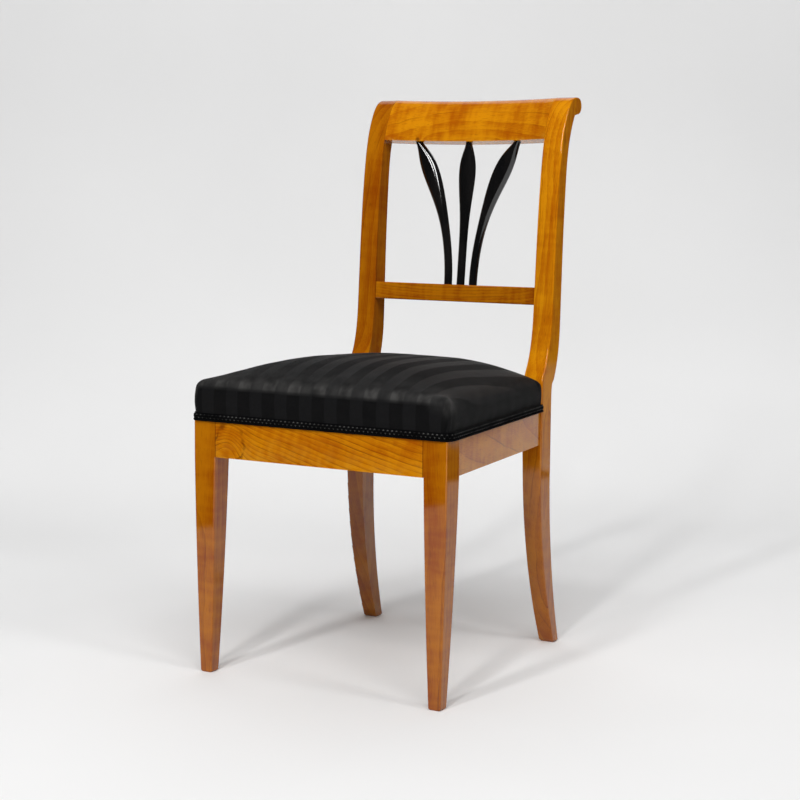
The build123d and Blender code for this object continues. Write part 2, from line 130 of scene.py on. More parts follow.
class ShaderSketch:
    """Adds nodes to one shader tree and links them as they are made."""

    def __init__(self, tree: bpy.types.NodeTree) -> None:
        """Keep the tree that the nodes go into."""
        self.tree = tree

    def fill(self, node: bpy.types.Node, sources: dict[Any, Source]) -> None:
        """Link inputs of a node to wires, or set their constants.

        Args:
            node: The node to fill.
            sources: What its inputs get, by name or index.
        """
        for key, source in sources.items():
            if isinstance(source, Wire):
                self.tree.links.new(source.socket, node.inputs[key])
            else:
                node.inputs[key].default_value = source

    def add(self, kind: str, sources: dict[Any, Source] | None = None, **settings: Any) -> bpy.types.Node:
        """Add one node.

        Args:
            kind: Blender's node type.
            sources: What its inputs get, by name or index.
            settings: Properties of the node.

        Returns:
            The new node.
        """
        node = self.tree.nodes.new(kind)
        for name, value in settings.items():
            setattr(node, name, value)
        self.fill(node, sources or {})
        return node

    def wire(self, node: bpy.types.Node, output: int | str = 0) -> Wire:
        """One output of a node."""
        return Wire(self, node.outputs[output])

    def wires(self, node: bpy.types.Node) -> dict[str, Wire]:
        """All outputs of a node by their names."""
        return {socket.name: Wire(self, socket) for socket in node.outputs}

    def math(self, operation: str, *sources: Source) -> Wire:
        """Result of a Math node on one or two sources."""
        return self.wire(self.add("ShaderNodeMath", dict(enumerate(sources)), operation=operation))

    def vector(self, operation: str, *sources: Source) -> Wire:
        """Result of a Vector Math node, its number where the operation gives one."""
        node = self.add("ShaderNodeVectorMath", dict(enumerate(sources)), operation=operation)
        return self.wire(node, "Value" if operation in ("LENGTH", "DISTANCE") else "Vector")

    def same(self, value: Source) -> Wire:
        """Vector with one value along all three axes."""
        return self.wire(self.add("ShaderNodeCombineXYZ", dict(enumerate([value] * 3))))

    def axis(self, place: Source, axis: int) -> Wire:
        """One coordinate of a place."""
        return self.wire(self.add("ShaderNodeSeparateXYZ", {0: place}), axis)

    def noise(self, place: Source, stretch: Triple | float, detail: float = 2.0, output: str = "Fac") -> Wire:
        """Noise whose features per metre may differ along the three axes.

        Args:
            place: Position in metres.
            stretch: Features per metre along X, Y and Z, or along all three.
            detail: Octaves of finer noise.
            output: Which output of the Noise Texture node to give.

        Returns:
            The noise from 0 to 1.
        """
        scaled = self.vector("MULTIPLY", place, (stretch,) * 3 if isinstance(stretch, float) else stretch)
        sources = {"Vector": scaled, "Scale": 1.0, "Detail": detail}
        return self.wire(self.add("ShaderNodeTexNoise", sources), output)

    def swayed(self, place: Source, stretch: Triple | float, reach: Source, detail: float = 2.0) -> Wire:
        """Place that wanders with noise.

        Args:
            place: Position in metres.
            stretch: Features of the noise per metre.
            reach: How far the place wanders.
            detail: Octaves of finer noise.

        Returns:
            The moved place.
        """
        drift = self.vector("SUBTRACT", self.noise(place, stretch, detail, "Color"), (0.5, 0.5, 0.5))
        return self.vector("ADD", place, self.vector("MULTIPLY", drift, self.same(reach)))

    def span(self, value: Source, low: Source, high: Source) -> Wire:
        """Smooth step of a value from 0 at low to 1 at high."""
        sources = {"Value": value, "From Min": low, "From Max": high}
        return self.wire(self.add("ShaderNodeMapRange", sources, interpolation_type="SMOOTHSTEP"))

    def blend(self, share: Source, first: Source, second: Source, mode: str = "MIX") -> Wire:
        """Colour between two colours.

        Args:
            share: How much of the second colour shows.
            first: Colour at 0.
            second: Colour at 1.
            mode: Blender's blend type.

        Returns:
            The mixed colour.
        """
        sources = {0: share, 6: first, 7: second}
        return self.wire(self.add("ShaderNodeMix", sources, data_type="RGBA", blend_type=mode), 2)

    def place(self) -> Wire:
        """Position on the piece, in the piece's own frame."""
        return self.wire(self.add("ShaderNodeTexCoord"), "Object")

    def attribute(self, name: str, output: str = "Fac") -> Wire:
        """A named value or vector stored on the mesh."""
        return self.wire(self.add("ShaderNodeAttribute", attribute_name=name), output)

    def group(self, tree: bpy.types.NodeTree, sources: dict[str, Source]) -> dict[str, Wire]:
        """Outputs of a shared node group, placed with its own values."""
        return self.wires(self.add("ShaderNodeGroup", sources, node_tree=tree))

    def put_out(self, sources: dict[str, Source]) -> bpy.types.NodeTree:
        """Feed the outputs of a shared node group and give its tree."""
        self.add("NodeGroupOutput", sources)
        return self.tree

    def relief(self, height: Source, depth: float) -> Wire:
        """Normal of a fine relief of a given real depth, its height from 0 to 1."""
        return self.wire(self.add("ShaderNodeBump", {"Height": height, "Distance": depth}))


class SocketKind(Enum):
    """Kinds of sockets on the shared node groups."""

    VALUE = "NodeSocketFloat"
    COLOUR = "NodeSocketColor"
    VECTOR = "NodeSocketVector"


def new_group(
    name: str, inputs: dict[str, SocketKind], outputs: dict[str, SocketKind]
) -> tuple[ShaderSketch, dict[str, Wire]]:
    """Start a shared node group.

    Args:
        name: Name of the group.
        inputs: Its inputs and their kinds.
        outputs: Its outputs and their kinds.

    Returns:
        A sketch on the group's tree, and its inputs by name.
    """
    tree = bpy.data.node_groups.new(name, "ShaderNodeTree")
    for side, sockets in (("INPUT", inputs), ("OUTPUT", outputs)):
        for label, kind in sockets.items():
            tree.interface.new_socket(label, in_out=side, socket_type=kind.value)
    sketch = ShaderSketch(tree)
    return sketch, sketch.wires(sketch.add("NodeGroupInput"))


def new_material(name: str) -> tuple[bpy.types.Material, ShaderSketch, bpy.types.Node]:
    """Start a material.

    Args:
        name: Name of the material.

    Returns:
        The material, a sketch on its tree and its Principled shader.
    """
    material = bpy.data.materials.new(name)
    material.use_nodes = True
    material.node_tree.nodes.clear()
    sketch = ShaderSketch(material.node_tree)
    shader = sketch.add("ShaderNodeBsdfPrincipled")
    sketch.add("ShaderNodeOutputMaterial", {"Surface": sketch.wire(shader)})
    return material, sketch, shader


@cache
def wood_grain_group() -> bpy.types.NodeTree:
    """Growth rings, fibre and mottle of a log whose heart lies along Z of the given place.

    Returns:
        The shared node group.
    """
    sketch, given = new_group(
        "wood_grain",
        {
            **dict.fromkeys(("Place", "Figure Place"), SocketKind.VECTOR),
            **dict.fromkeys(GRAIN_VALUES, SocketKind.VALUE),
            **dict.fromkeys(("Light", "Middle", "Dark"), SocketKind.COLOUR),
        },
        {"Colour": SocketKind.COLOUR, "Height": SocketKind.VALUE, "Mottle": SocketKind.VALUE},
    )
    place, spacing = given["Place"], given["Ring Spacing"]
    swayed = sketch.swayed(place, (13.0, 13.0, 4.5), given["Sway"], 3.0)
    across = sketch.vector("LENGTH", sketch.vector("MULTIPLY", swayed, (1.0, 1.0, 0.0)))
    away = sketch.vector("DISTANCE", swayed, given["Figure Place"]) / given["Figure Size"]
    curl = sketch.math("EXPONENT", away * away * -1.0) * given["Figure Rise"]
    ring = (across + curl) / spacing
    part = sketch.math("FRACT", ring)
    number = sketch.math("FLOOR", ring)
    shade = sketch.wire(sketch.add("ShaderNodeTexWhiteNoise", {"W": number}, noise_dimensions="1D"), "Value")
    late = sketch.span(part, 0.1, 0.92)
    broken = sketch.span(sketch.noise(place, (60.0, 60.0, 10.0)), 0.3, 0.62)
    line = sketch.span((1.0 - part) * spacing, given["Line Width"], 0.0)
    line = line * (sketch.math("POWER", shade, given["Line Choice"]) * broken)
    fibre = sketch.noise(place, (900.0, 900.0, 26.0), 3.0)
    mottle = sketch.noise(place, (34.0, 34.0, 10.0), 4.0)
    bands = sketch.noise(place, (6.0, 6.0, 30.0)) - 0.5
    smears = sketch.noise(place, (22.0, 22.0, 95.0)) - 0.5
    pores = sketch.span(sketch.noise(place, (620.0, 620.0, 75.0), 1.0), 0.62, 0.74)
    tone = mottle * 0.9 + fibre * 0.55 + (bands + smears) * given["Flame"] + shade * 0.16 - late * 0.14
    colour = sketch.blend(sketch.span(tone, 0.35, 1.05), given["Middle"], given["Light"])
    knot = sketch.span(away, 0.55, 0.2)
    ripple = sketch.noise(place, (55.0, 55.0, 30.0)) * 1.1
    rim = sketch.span(sketch.math("ABSOLUTE", away + ripple - 1.55), 0.13, 0.02) * broken
    for mark in (line * given["Line Depth"], pores * 0.28, knot * given["Knot"], rim * given["Rim"]):
        colour = sketch.blend(mark, colour, given["Dark"])
    return sketch.put_out({"Colour": colour, "Height": fibre - pores * 0.6, "Mottle": mottle})


@cache
def edge_wear_group() -> bpy.types.NodeTree:
    """Mask of the arrises that hands and cloths have rubbed.

    Returns:
        The shared node group.
    """
    sketch, given = new_group("edge_wear", {"Place": SocketKind.VECTOR}, {"Edge": SocketKind.VALUE})
    sharp = sketch.wire(sketch.add("ShaderNodeNewGeometry"), "Pointiness")
    patches = sketch.span(sketch.noise(given["Place"], 60.0), 0.3, 0.65)
    return sketch.put_out({"Edge": sketch.span(sharp, 0.56, 0.64) * patches})


@cache
def weave_group() -> bpy.types.NodeTree:
    """Plain weave over the stored cloth place: thread relief, a mask of the gaps for painted shade, and
    uneven yarn.

    Returns:
        The shared node group.
    """
    sketch, given = new_group(
        "weave",
        {"Place": SocketKind.VECTOR, "Pitch": SocketKind.VALUE, "Slub": SocketKind.VALUE},
        dict.fromkeys(("Height", "Painted Gap Shade", "Yarn"), SocketKind.VALUE),
    )
    place = given["Place"]
    moved = sketch.swayed(place, 45.0, given["Slub"])
    turns = sketch.vector("DIVIDE", moved, sketch.same(given["Pitch"]))
    along = [sketch.axis(turns, axis) for axis in (0, 1)]
    warp, weft = [sketch.math("ABSOLUTE", sketch.math("SINE", turn * math.pi)) for turn in along]
    cell = sketch.math("FLOOR", along[0]) + sketch.math("FLOOR", along[1])
    over = sketch.math("PINGPONG", cell, 1.0)
    height = (over * warp + (1.0 - over) * weft + warp * weft) * 0.5
    painted_gap_shade = 1.0 - sketch.span(sketch.math("MAXIMUM", warp, weft), 0.25, 0.6)
    return sketch.put_out({"Height": height, "Painted Gap Shade": painted_gap_shade, "Yarn": sketch.noise(place, 140.0, 3.0)})


@dataclass(frozen=True)
class LogCut:
    """How a piece was cut from its log.

    Attributes:
        grain: Direction of the grain.
        heart: Where the log's heart passes, from the middle of the piece.
        ring_spacing: Distance between growth rings.
        sway: How far the grain wanders.
        figure: Middle of a curl in the grain, from the middle of the piece.
        figure_size: Radius of that curl.
        figure_rise: How many metres of rings the curl holds.
        knot: Darkness of a knot in the curl.
        rim: Darkness of the line round the curl.
        flame: Strength of the cross bands.
        line_depth: Strength of the dark ring lines.
        line_width: Width of the dark ring lines.
        line_choice: How few of the rings end in a dark line.
        tone: Lightness of the whole piece.
        foot: Lightness near the floor against the rest, a painted shade on the lower part of the piece.
        joint: How far to both sides of the chair's middle a dark glue line shows, or 0 for none.
    """

    grain: Triple
    heart: Triple
    ring_spacing: float = 0.0042
    sway: float = 0.012
    figure: Triple = (0.0, 0.0, -1.0)
    figure_size: float = 0.03
    figure_rise: float = 0.0
    knot: float = 0.0
    rim: float = 0.0
    flame: float = 0.5
    line_depth: float = 0.7
    line_width: float = 0.0016
    line_choice: float = 1.5
    tone: float = 1.0
    foot: float = 1.0
    joint: float = 0.0

    def values(self) -> dict[str, float]:
        """The cut's numbers, by the names of the grain group's inputs."""
        return {name: getattr(self, name.lower().replace(" ", "_")) for name in GRAIN_VALUES}


@dataclass(frozen=True)
class PolishedWood:
    """Cherry under French polish.

    Attributes:
        light: Colour of the pale early wood.
        middle: Colour of the wood between the rings.
        dark: Colour of the ring lines and pores.
        rubbed: Colour of the rubbed arrises.
        rub: How far the arrises take that colour.
        deepening: Powers by which red, green and blue follow a piece's lightness.
        painted_foot_shade_band: Heights between which the painted shade near the floor gives way to the rest.
        glue: Width of the dark line at a joint, with its soft edge.
        glue_depth: Darkness of that line.
        polish: Least roughness of the polish.
        haze: How much rougher the polish is over the mottle.
        relief: Depth of fibre and pores.
        ior: Refraction of the polish.
    """

    light: Colour = srgb(197, 123, 6)
    middle: Colour = srgb(160, 79, 1)
    dark: Colour = srgb(91, 36, 1)
    rubbed: Colour = srgb(197, 141, 41)
    rub: float = 0.45
    deepening: Triple = (1.0, 1.38, 1.8)
    painted_foot_shade_band: tuple[float, float] = (0.2, 0.5)
    glue: float = 0.0012
    glue_depth: float = 0.75
    polish: float = 0.025
    haze: float = 0.04
    relief: float = 0.00002
    ior: float = 1.47

    def material(self, node: str, cut: LogCut) -> bpy.types.Material:
        """Wood of one piece, its rings running through the solid as they were sawn.

        Args:
            node: The piece that the material is for.
            cut: How the piece lay in its log.

        Returns:
            The material.
        """
        material, sketch, shader = new_material(f"cherry_{node}")
        low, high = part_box(node)
        middle = (low + high) / 2
        along = Vector(cut.grain).normalized()
        side = along.orthogonal().normalized()
        turn = Matrix((side, along.cross(side), along))
        heart = turn @ (middle + Vector(cut.heart))
        figure = turn @ (middle + Vector(cut.figure)) - heart
        place = sketch.place()
        sources = {"Vector": place, "Location": -heart, "Rotation": turn.to_euler()}
        in_log = sketch.wire(sketch.add("ShaderNodeMapping", sources))
        tones = {"Light": self.light, "Middle": self.middle, "Dark": self.dark}
        given = {"Place": in_log, "Figure Place": figure, **cut.values(), **tones}
        grain = sketch.group(wood_grain_group(), given)
        worn = sketch.group(edge_wear_group(), {"Place": in_log})["Edge"] * self.rub
        colour = sketch.blend(worn, grain["Colour"], self.rubbed)
        # Painted shade: the lower part of a standing piece is darkened by its foot share.
        painted_foot_shade_tones = [
            (*(tone**power for power in self.deepening), 1.0) for tone in (cut.tone * cut.foot, cut.tone)
        ]
        shade = sketch.blend(sketch.span(sketch.axis(place, 2), *self.painted_foot_shade_band), *painted_foot_shade_tones)
        colour = sketch.blend(1.0, colour, shade, "MULTIPLY")
        if cut.joint:
            from_middle = sketch.math("ABSOLUTE", sketch.axis(place, 0))
            line = sketch.span(from_middle, cut.joint - self.glue, cut.joint - self.glue / 2)
            colour = sketch.blend(line * self.glue_depth, colour, self.dark)
        sketch.fill(
            shader,
            {
                "Base Color": colour,
                "Roughness": grain["Mottle"] * self.haze + self.polish,
                "Normal": sketch.relief(grain["Height"], self.relief),
                "IOR": self.ior,
            },
        )
        return material


@dataclass(frozen=True)
class EbonisedWood:
    """Black polished wood of the splat bars.

    Attributes:
        black: Colour of the stain.
        thin: Colour where the stain is thin.
        worn: Colour of the rubbed edges.
        rub: How far the edges take that colour.
        stain: Least roughness of the stained wood.
        haze: How much rougher it is where the stain is cloudy.
        relief: Depth of the grain's streaks.
        coat: Strength of the polish.
        coat_roughness: Roughness of the polish.
    """

    black: Colour = srgb(9, 9, 10)
    thin: Colour = srgb(22, 20, 20)
    worn: Colour = srgb(34, 29, 26)
    rub: float = 0.35
    stain: float = 0.04
    haze: float = 0.08
    relief: float = 0.00001
    coat: float = 0.5
    coat_roughness: float = 0.05

    def material(self) -> bpy.types.Material:
        """Stained and polished wood, slightly rubbed along its edges.

        Returns:
            The material.
        """
        material, sketch, shader = new_material("ebonised")
        place = sketch.place()
        streaks = sketch.noise(place, (420.0, 420.0, 14.0), 3.0)
        cloud = sketch.noise(place, (40.0, 40.0, 12.0))
        rubbed = sketch.group(edge_wear_group(), {"Place": place})["Edge"] * self.rub
        colour = sketch.blend(sketch.span(cloud, 0.35, 0.8), self.black, self.thin)
        sketch.fill(
            shader,
            {
                "Base Color": sketch.blend(rubbed, colour, self.worn),
                "Roughness": cloud * self.haze + self.stain,
                "Normal": sketch.relief(streaks, self.relief),
                "Coat Weight": self.coat,
                "Coat Roughness": self.coat_roughness,
            },
        )
        return material


@dataclass(frozen=True)
class StripedCloth:
    """Black cloth with tone-on-tone satin stripes, running from front to back.

    Attributes:
        period: Width of one dark and one light stripe together.
        phase: Where the middle of a dark stripe lies across the seat.
        wander: How far the stripes wander.
        light: Colour of the satin stripes.
        dark: Colour of the ribbed stripes.
        painted_gap_shade: Colour between the threads, a painted shade.
        rubbed: Colour of the worn edges, also used for the painted highlight and sheen.
        thread: Pitch of the weave.
        slub: How far the threads wander.
        relief: Depth of the weave.
        roughness: Roughness of the ribbed stripes.
        gloss: How much smoother the satin stripes are.
        sheen: Strength of the nap's sheen.
        sheen_roughness: Roughness of that sheen.
        specular: Strength of the threads' reflection.
    """

    period: float = 0.0431
    phase: float = 0.0052
    wander: float = 0.003
    light: Colour = srgb(19, 19, 20)
    dark: Colour = srgb(10, 10, 11)
    painted_gap_shade: Colour = srgb(5, 5, 6)
    rubbed: Colour = srgb(70, 69, 68)
    thread: float = 0.0007
    slub: float = 0.0006
    relief: float = 0.00012
    roughness: float = 0.72
    gloss: float = 0.2
    sheen: float = 0.032
    sheen_roughness: float = 0.45
    specular: float = 0.05

    def material(self) -> bpy.types.Material:
        """Woven stripes with rubbed edges, painted highlight and sheen, and a little lint.

        Returns:
            The material.
        """
        material, sketch, shader = new_material("striped_cover")
        place = sketch.attribute(CLOTH_PLACE, "Vector")
        weave = sketch.group(weave_group(), {"Place": place, "Pitch": self.thread, "Slub": self.slub})
        across = sketch.axis(place, 0) + sketch.noise(place, (30.0, 9.0, 1.0)) * self.wander
        turn = (across - (self.phase + self.wander / 2)) / self.period
        wave = sketch.math("COSINE", turn * (2 * math.pi))
        # Painted sheen: the stored share lightens and smooths the satin stripes by their place on the cover.
        satin = (1.0 - sketch.span(wave, -0.12, 0.12)) * sketch.attribute(SATIN_PAINTED_SHEEN)
        colour = sketch.blend(satin, self.dark, self.light)
        colour = sketch.blend(sketch.span(weave["Yarn"], 0.25, 0.8) * 0.25, colour, self.dark)
        # Painted shade between the threads.
        colour = sketch.blend(weave["Painted Gap Shade"] * 0.5, colour, self.painted_gap_shade)
        # The stored rubbed share is wear with painted highlight and sheen; the ribbed stripes take more of
        # it.
        patches = sketch.span(sketch.noise(place, 55.0, 5.0), 0.1, 0.75)
        ribs = 1.0 - satin * 0.5
        colour = sketch.blend(sketch.attribute(RUBBED_AND_PAINTED_LIGHT) * patches * ribs, colour, self.rubbed)
        lint = sketch.span(sketch.noise(place, 520.0, 1.0), 0.77, 0.8)
        colour = sketch.blend(lint * 0.35, colour, self.rubbed)
        sketch.fill(
            shader,
            {
                "Base Color": colour,
                "Roughness": self.roughness - satin * self.gloss,
                "Normal": sketch.relief(weave["Height"], self.relief),
                "Sheen Weight": self.sheen,
                "Sheen Roughness": self.sheen_roughness,
                "Specular IOR Level": self.specular,
            },
        )
        return material


@dataclass(frozen=True)
class PlainCloth:
    """A coarse woven cloth.

    Attributes:
        name: Name of the finish.
        light: Colour of the pale yarns.
        dark: Colour of the dark yarns, and of the painted shade in the gaps.
        pitch: Pitch of the weave.
        slub: How far the yarns wander.
        border: Colour of the lines woven along a strip's edges.
        border_place: How far the border lines lie from the middle, or 0 for none.
        border_half: Half the width of a border line, without and with its soft edge.
        relief: Depth of the weave.
    """

    name: str
    light: Colour
    dark: Colour
    pitch: float
    slub: float
    border: Colour = srgb(90, 40, 30)
    border_place: float = 0.0
    border_half: tuple[float, float] = (0.0012, 0.002)
    relief: float = 0.0004

    def material(self) -> bpy.types.Material:
        """Woven yarns in two tones, with border lines where the strip has them.

        Returns:
            The material.
        """
        material, sketch, shader = new_material(self.name)
        place = sketch.attribute(CLOTH_PLACE, "Vector")
        weave = sketch.group(weave_group(), {"Place": place, "Pitch": self.pitch, "Slub": self.slub})
        colour = sketch.blend(sketch.span(weave["Yarn"], 0.3, 0.7), self.light, self.dark)
        if self.border_place:
            across = sketch.math("ABSOLUTE", sketch.axis(place, 0))
            off = sketch.math("ABSOLUTE", across - self.border_place)
            line = 1.0 - sketch.span(off, *self.border_half)
            colour = sketch.blend(line * 0.8, colour, self.border)
        # The gaps between the yarns get painted shade in the dark colour.
        sketch.fill(
            shader,
            {
                "Base Color": sketch.blend(weave["Painted Gap Shade"] * 0.7, colour, self.dark),
                "Roughness": weave["Yarn"] * 0.15 + 0.75,
                "Normal": sketch.relief(weave["Height"], self.relief),
            },
        )
        return material


@dataclass(frozen=True)
class BraidThread:
    """Black silk thread of the braid.

    Attributes:
        black: Colour of the thread.
        grey: Colour of its dusty fibres.
        painted_glint: Colour of the painted glints on the loops.
        relief: Depth of the fibres.
        specular: Strength of the thread's reflection.
    """

    black: Colour = srgb(5, 5, 6)
    grey: Colour = srgb(17, 17, 18)
    painted_glint: Colour = srgb(106, 106, 104)
    relief: float = 0.0002
    specular: float = 0.04

    def material(self) -> bpy.types.Material:
        """Fine fibres, dusty in places, with painted glints on the loops.

        Returns:
            The material.
        """
        material, sketch, shader = new_material("gimp_braid")
        place = sketch.place()
        fibres = sketch.noise(place, 1400.0, 2.0)
        dust = sketch.noise(place, 55.0, 3.0)
        dusty = sketch.span(fibres, 0.35, 0.75) * sketch.span(dust, 0.3, 0.75)
        colour = sketch.blend(dusty, self.black, self.grey)
        # Painted glints on the loops, where the stored share is high.
        worn = sketch.attribute(RUBBED_AND_PAINTED_LIGHT) * sketch.span(dust, 0.25, 0.7)
        sketch.fill(
            shader,
            {
                "Base Color": sketch.blend(worn, colour, self.painted_glint),
                "Roughness": fibres * 0.2 + 0.5,
                "Normal": sketch.relief(fibres, self.relief),
                "Specular IOR Level": self.specular,
            },
        )
        return material


@dataclass(frozen=True)
class RawBeech:
    """Unpolished beech of the corner blocks.

    Attributes:
        light: Colour of the clean wood.
        middle: Colour of the wood between the rays.
        dark: Colour of the flecks and grime.
        cut: How the blocks were cut from their log.
        turn: How the log lay, as angles about X, Y and Z.
        relief: Depth of the sawn surface.
    """

    light: Colour = srgb(190, 146, 98)
    middle: Colour = srgb(160, 112, 70)
    dark: Colour = srgb(96, 60, 36)
    cut: LogCut = LogCut(
        (0.0, 0.0, 1.0), (0.0, 0.0, 0.0), ring_spacing=0.003, sway=0.006, figure_size=1.0,
        flame=0.1, line_depth=0.3, line_width=0.001, line_choice=1.0,
    )
    turn: Triple = (0.0, 1.3, 0.8)
    relief: float = 0.0002

    def material(self) -> bpy.types.Material:
        """Plain sawn wood, grimy with age.

        Returns:
            The material.
        """
        material, sketch, shader = new_material("block_beech")
        place = sketch.place()
        in_log = sketch.wire(sketch.add("ShaderNodeMapping", {"Vector": place, "Rotation": self.turn}))
        tones = {"Light": self.light, "Middle": self.middle, "Dark": self.dark}
        grain = sketch.group(wood_grain_group(), {"Place": in_log, **self.cut.values(), **tones})
        grime = sketch.span(sketch.noise(place, 35.0, 4.0), 0.4, 0.75)
        sketch.fill(
            shader,
            {
                "Base Color": sketch.blend(grime * 0.4, grain["Colour"], self.dark),
                "Roughness": grime * 0.2 + 0.6,
                "Normal": sketch.relief(grain["Height"], self.relief),
            },
        )
        return material


@dataclass(frozen=True)
class BluedSteel:
    """Blued cut tacks.

    Attributes:
        blue: Colour of the blued skin.
        brown: Colour of the rusted patches.
        relief: Height of the rust.
    """

    blue: Colour = srgb(52, 56, 66)
    brown: Colour = srgb(78, 52, 38)
    relief: float = 0.0001

    def material(self) -> bpy.types.Material:
        """Dark steel with spots of rust.

        Returns:
            The material.
        """
        material, sketch, shader = new_material("blued_steel")
        rust = sketch.span(sketch.noise(sketch.place(), 260.0, 3.0), 0.5, 0.68)
        sketch.fill(
            shader,
            {
                "Base Color": sketch.blend(rust, self.blue, self.brown),
                "Metallic": 1.0 - rust,
                "Roughness": rust * 0.4 + 0.35,
                "Normal": sketch.relief(rust, self.relief),
            },
        )
        return material


@dataclass(frozen=True)
class BackdropPaper:
    """Pale paper that the chair stands on.

    Attributes:
        pale: Colour of the paper underfoot.
        grey: Colour of the paper where it rises, a painted shade on the wall.
        shade: Colour of its faint clouding.
        rise: Height at which the paper has turned to the second colour.
        roughness: Roughness of the paper.
        specular: Strength of its reflection.
    """

    pale: Colour = srgb(242, 242, 242)
    grey: Colour = srgb(232, 232, 232)
    shade: Colour = srgb(246, 246, 246)
    rise: float = 0.5
    roughness: float = 0.9
    specular: float = 0.1

    def material(self) -> bpy.types.Material:
        """Matt paper with painted shade where it rises, that only shows from its front.

        Returns:
            The material.
        """
        material, sketch, shader = new_material("backdrop_paper")
        place = sketch.place()
        # Painted shade: the paper turns greyer as it rises into the wall.
        colour = sketch.blend(sketch.span(sketch.axis(place, 2), 0.0, self.rise), self.pale, self.grey)
        cloud = sketch.noise(place, 1.5)
        sketch.fill(
            shader,
            {
                "Base Color": sketch.blend(cloud, colour, self.shade, "MULTIPLY"),
                "Roughness": self.roughness,
                "Specular IOR Level": self.specular,
            },
        )
        behind = sketch.wire(sketch.add("ShaderNodeNewGeometry"), "Backfacing")
        clear = sketch.wire(sketch.add("ShaderNodeBsdfTransparent"))
        shown = sketch.add("ShaderNodeMixShader", {0: behind, 1: sketch.wire(shader), 2: clear})
        sketch.fill(material.node_tree.nodes["Material Output"], {"Surface": sketch.wire(shown)})
        return material


def new_piece(name: str, points: np.ndarray, faces: Sequence[Sequence[int]]) -> bpy.types.Object:
    """Make a mesh object from points and faces.

    Args:
        name: Name of the piece.
        points: Its points, one row each.
        faces: Its faces as indices of points.

    Returns:
        The object, linked to the scene and shaded smooth.
    """
    mesh = bpy.data.meshes.new(name)
    mesh.from_pydata(points.tolist(), [], [tuple(int(i) for i in face) for face in faces])
    mesh.validate()
    mesh.shade_smooth()
    piece = bpy.data.objects.new(name, mesh)
    bpy.context.scene.collection.objects.link(piece)
    return piece


def store_values(piece: bpy.types.Object, name: str, values: np.ndarray) -> None:
    """Store one number or one vector for each point of a piece.

    Args:
        piece: The mesh object.
        name: Name of the attribute.
        values: One number for each point, or one row of X and Y.
    """
    if values.ndim == 1:
        layer = piece.data.attributes.new(name, "FLOAT", "POINT")
        layer.data.foreach_set("value", values.astype(np.float32))
    else:
        layer = piece.data.attributes.new(name, "FLOAT_VECTOR", "POINT")
        rows = np.column_stack([values, np.zeros(len(values))])
        layer.data.foreach_set("vector", rows.astype(np.float32).ravel())


def dress(piece: bpy.types.Object, material: bpy.types.Material) -> None:
    """Give a new piece its finish and let it ride on the chair.

    Args:
        piece: The new piece.
        material: Its material.
    """
    piece.data.materials.append(material)
    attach(piece, BODY)
    LOG.info("%s: %d faces", piece.name, len(piece.data.polygons))


def dress_node(node: str, material: bpy.types.Material) -> None:
    """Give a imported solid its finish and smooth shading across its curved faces.

    Args:
        node: Name of the solid.
        material: Its material.
    """
    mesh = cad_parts[node].data
    mesh.materials.clear()
    mesh.materials.append(material)
    mesh.shade_smooth()
    mesh.set_sharp_from_angle(angle=SMOOTH_SOLID)
    LOG.info("%s: finish %s", node, material.name)


